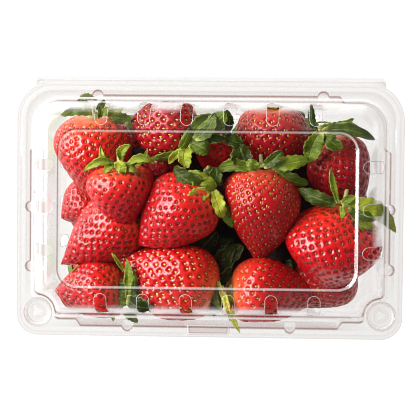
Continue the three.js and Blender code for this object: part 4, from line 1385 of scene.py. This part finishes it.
def inside_leafroom(points):
    """Leaves are held down under the lid; past the tub's walls they lie at the height between the rims."""
    x, y, z = points.T
    reaches = {"side": abs(x), "front": -y, "back": y}
    ceiling = np.min([np.interp(reaches[key], LEAF_REACH[key], LEAF_CEILING) for key in reaches], axis=0)
    on_rim = np.any([reaches[key] > RIM_STARTS[key] for key in reaches], axis=0)
    z = np.where(on_rim, BETWEEN_RIMS, pressed(z, ceiling, 0.6))
    return np.stack([x, y, z], axis=1)


def make_stalk(berry, chance):
    """The button of a crown where its leaves meet, with the stub of the stalk."""
    lean = np.array([chance.uniform(-0.35, 0.35) for _ in range(3)])
    out = unit(lean - berry.axis)
    length = chance.uniform(2.5, 5)
    rings = [(3.6, 0), (3.9, 0.5), (3.2, 1.1), (1.8, 1.6), (1.1, 2.2), (1, 2.2 + length), (0.7, 2.6 + length)]
    side = unit(np.cross(out, (0.2, 0.1, 1)))
    other = np.cross(out, side)
    foot = berry.crown + berry.axis * 1.4
    ways = [math.cos(a) * side + math.sin(a) * other for a in (2 * math.pi * i / 12 for i in range(12))]
    laid = [[Vector(foot + out * rise + radius * way) for way in ways] for radius, rise in rings]
    piece = lofted("stalk", plain(laid))
    mesh = edit(piece, "EDGE")
    for one in mesh.edges:
        one.select = one.is_boundary
    bpy.ops.mesh.edge_face_add()
    bpy.ops.mesh.select_all(action="SELECT")
    bpy.ops.mesh.normals_make_consistent(inside=False)
    done()
    smooth(piece, 50)
    return piece


def make_core():
    """The fruit in the middle of the heap, seen only between the others; its top is painted nearly black as
    shade.
    """
    piece = made(bpy.ops.mesh.primitive_uv_sphere_add, segments=96, ring_count=48, radius=1)
    piece.name = piece.data.name = "fruit_below"
    ball = points_of(piece)
    box = np.sign(ball) * abs(ball) ** 0.45
    box /= np.maximum(1, np.linalg.norm(box, axis=1) / 1.35)[:, None]
    points = box * CORE_HALF + CORE_MIDDLE
    points += ball * uneven(points, 22, 2.5, 5)[:, None]
    put_at(piece, inside_pack(points))
    # depth runs from 1 below to 0 on top, where the finish paints it nearly black as shade.
    give_values(piece, "depth", np.interp(points[:, 2], (33, 40), (1, 0)))
    all_smooth(piece)
    return piece


# How round the leaves of a crown are; the others are rather pointed.
LEAF_ROUNDNESS = {"middle_left": 0.95, "back_left": 0.8, "between_leaves": 0.9, "middle": 0.85}
LEAF_ROUNDNESS |= {"on_top": 0.1, "deep": 0.6}
TOP_PIT_SIDES, LOWER_PIT_SIDES = 10, 6
LOWER_PITCH, LOWER_PIT_SHARE, LOWER_CONE = 4.7, 0.36, 0.3

HIDDEN_CROWNS = ("back_right", "left", "left_small", "in_the_gap")

HEAP_ROWS = {
    "berries_back": ("upper_left", "back_left", "back_right", "right_dark", "between_leaves"),
    "berries_middle": ("on_top", "middle_left", "middle", "right_big", "in_the_gap"),
    "berries_front": ("left", "left_small", "front_left", "front_big", "front_right", "under_big"),
}


def make_heap():
    skin, seed_finish, leaf_finish, stalk_finish = fruit_skin(), seed_skin(), leaf_skin(), stalk_skin()
    chance, hidden = random.Random(11), random.Random(23)
    row_of = {name: row for row, names in HEAP_ROWS.items() for name in names}
    rows, seeds, leaves, stalks = {}, [], [], []
    for number, (name, *shape, tone, yellow, pitch, pit_share, cone) in enumerate(TOP_BERRIES):
        berry = Berry(*shape, cone, 100 + number)
        piece, places = make_flesh(name, berry, pitch, pit_share, tone, TOP_PIT_SIDES)
        rows.setdefault(row_of[name], []).append(piece)
        seeds.append((places, yellow))
        if name in LEAVES and name != "between_leaves":
            stalks.append(make_stalk(berry, chance))
        for leaf in LEAVES.get(name, ()):
            leaves.append(make_leaf(leaf, LEAF_ROUNDNESS.get(name, 0.2), chance))
        if name in HIDDEN_CROWNS:
            leaves += make_hidden_crown(berry, hidden)
    for leaf in LEAVES["deep"]:
        leaves.append(make_leaf(leaf, LEAF_ROUNDNESS["deep"], chance))
    for number, shape in enumerate(LOWER_BERRIES):
        berry = Berry(*shape, LOWER_CONE, 200 + number)
        tone = chance.uniform(0.4, 0.9)
        piece, places = make_flesh("lower", berry, LOWER_PITCH, LOWER_PIT_SHARE, tone, LOWER_PIT_SIDES)
        rows.setdefault("berries_below", []).append(piece)
        seeds.append((places, chance.uniform(0.2, 0.7)))
        leaves += make_hidden_crown(berry, hidden)
    pieces = [(joined(row, flesh), skin) for row, flesh in rows.items()]
    pieces.append((make_core(), shade_skin()))
    pieces.append((make_seeds("seeds", seeds), seed_finish))
    pieces.append((joined("crown_leaves", leaves), leaf_finish))
    pieces.append((joined("stalks", stalks), stalk_finish))
    return [dressed(piece, finish) for piece, finish in pieces]


# ---- light and floor ----------------------------------------------------------------------------
def add_floor():
    floor = made(bpy.ops.mesh.primitive_plane_add, size=6)
    floor.name = "floor"
    floor.data.materials.append(floor_paint())
    return floor


# Where the fill lights stand, seen from the pack.
FILLS = {"right": (0.75, -0.25, 0.55), "back": (0.1, 0.8, 0.55), "front": (-0.1, -0.8, 0.55)}


def add_softbox(name, direction, distance, size, energy, mirrored):
    direction = Vector(direction).normalized()
    softbox = made(bpy.ops.object.light_add, type="AREA", location=direction * distance)
    softbox.name = name
    softbox.data.shape = "SQUARE"
    softbox.data.size = size
    softbox.data.energy = energy
    softbox.rotation_euler = direction.to_track_quat("Z", "Y").to_euler()
    softbox.visible_glossy = mirrored


def add_lights():
    scene = bpy.context.scene
    scene.view_settings.view_transform = "Standard"
    scene.cycles.transparent_max_bounces = 48
    scene.cycles.filter_width = 0.9
    world = bpy.data.worlds.new("studio")
    scene.world = world
    world.use_nodes = True
    background = world.node_tree.nodes["Background"].inputs
    background["Color"].default_value = (1, 1, 1, 1)
    background["Strength"].default_value = 0.03
    add_softbox("softbox_left", (-0.80, 0.33, 0.50), 0.95, 0.95, 40, True)
    for side, direction in FILLS.items():
        add_softbox("fill_" + side, direction, 1.2, 1.0, 4, False)


# ---- the whole ----------------------------------------------------------------------------------
add_camera()
lid, lid_lips = make_lid()
tub, tub_lips = make_tub()
lid_lips.name, tub_lips.name = "lid_slot_lips", "tub_slot_lips"
heap = make_heap()

for piece in (lid, lid_lips):
    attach(piece, "lid")
    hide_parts("lid")
for piece in (tub, tub_lips):
    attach(piece, "tub")
    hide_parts("tub")
for piece in heap:
    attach(piece, "tub")
    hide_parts("strawberries")
add_floor()
add_lights()
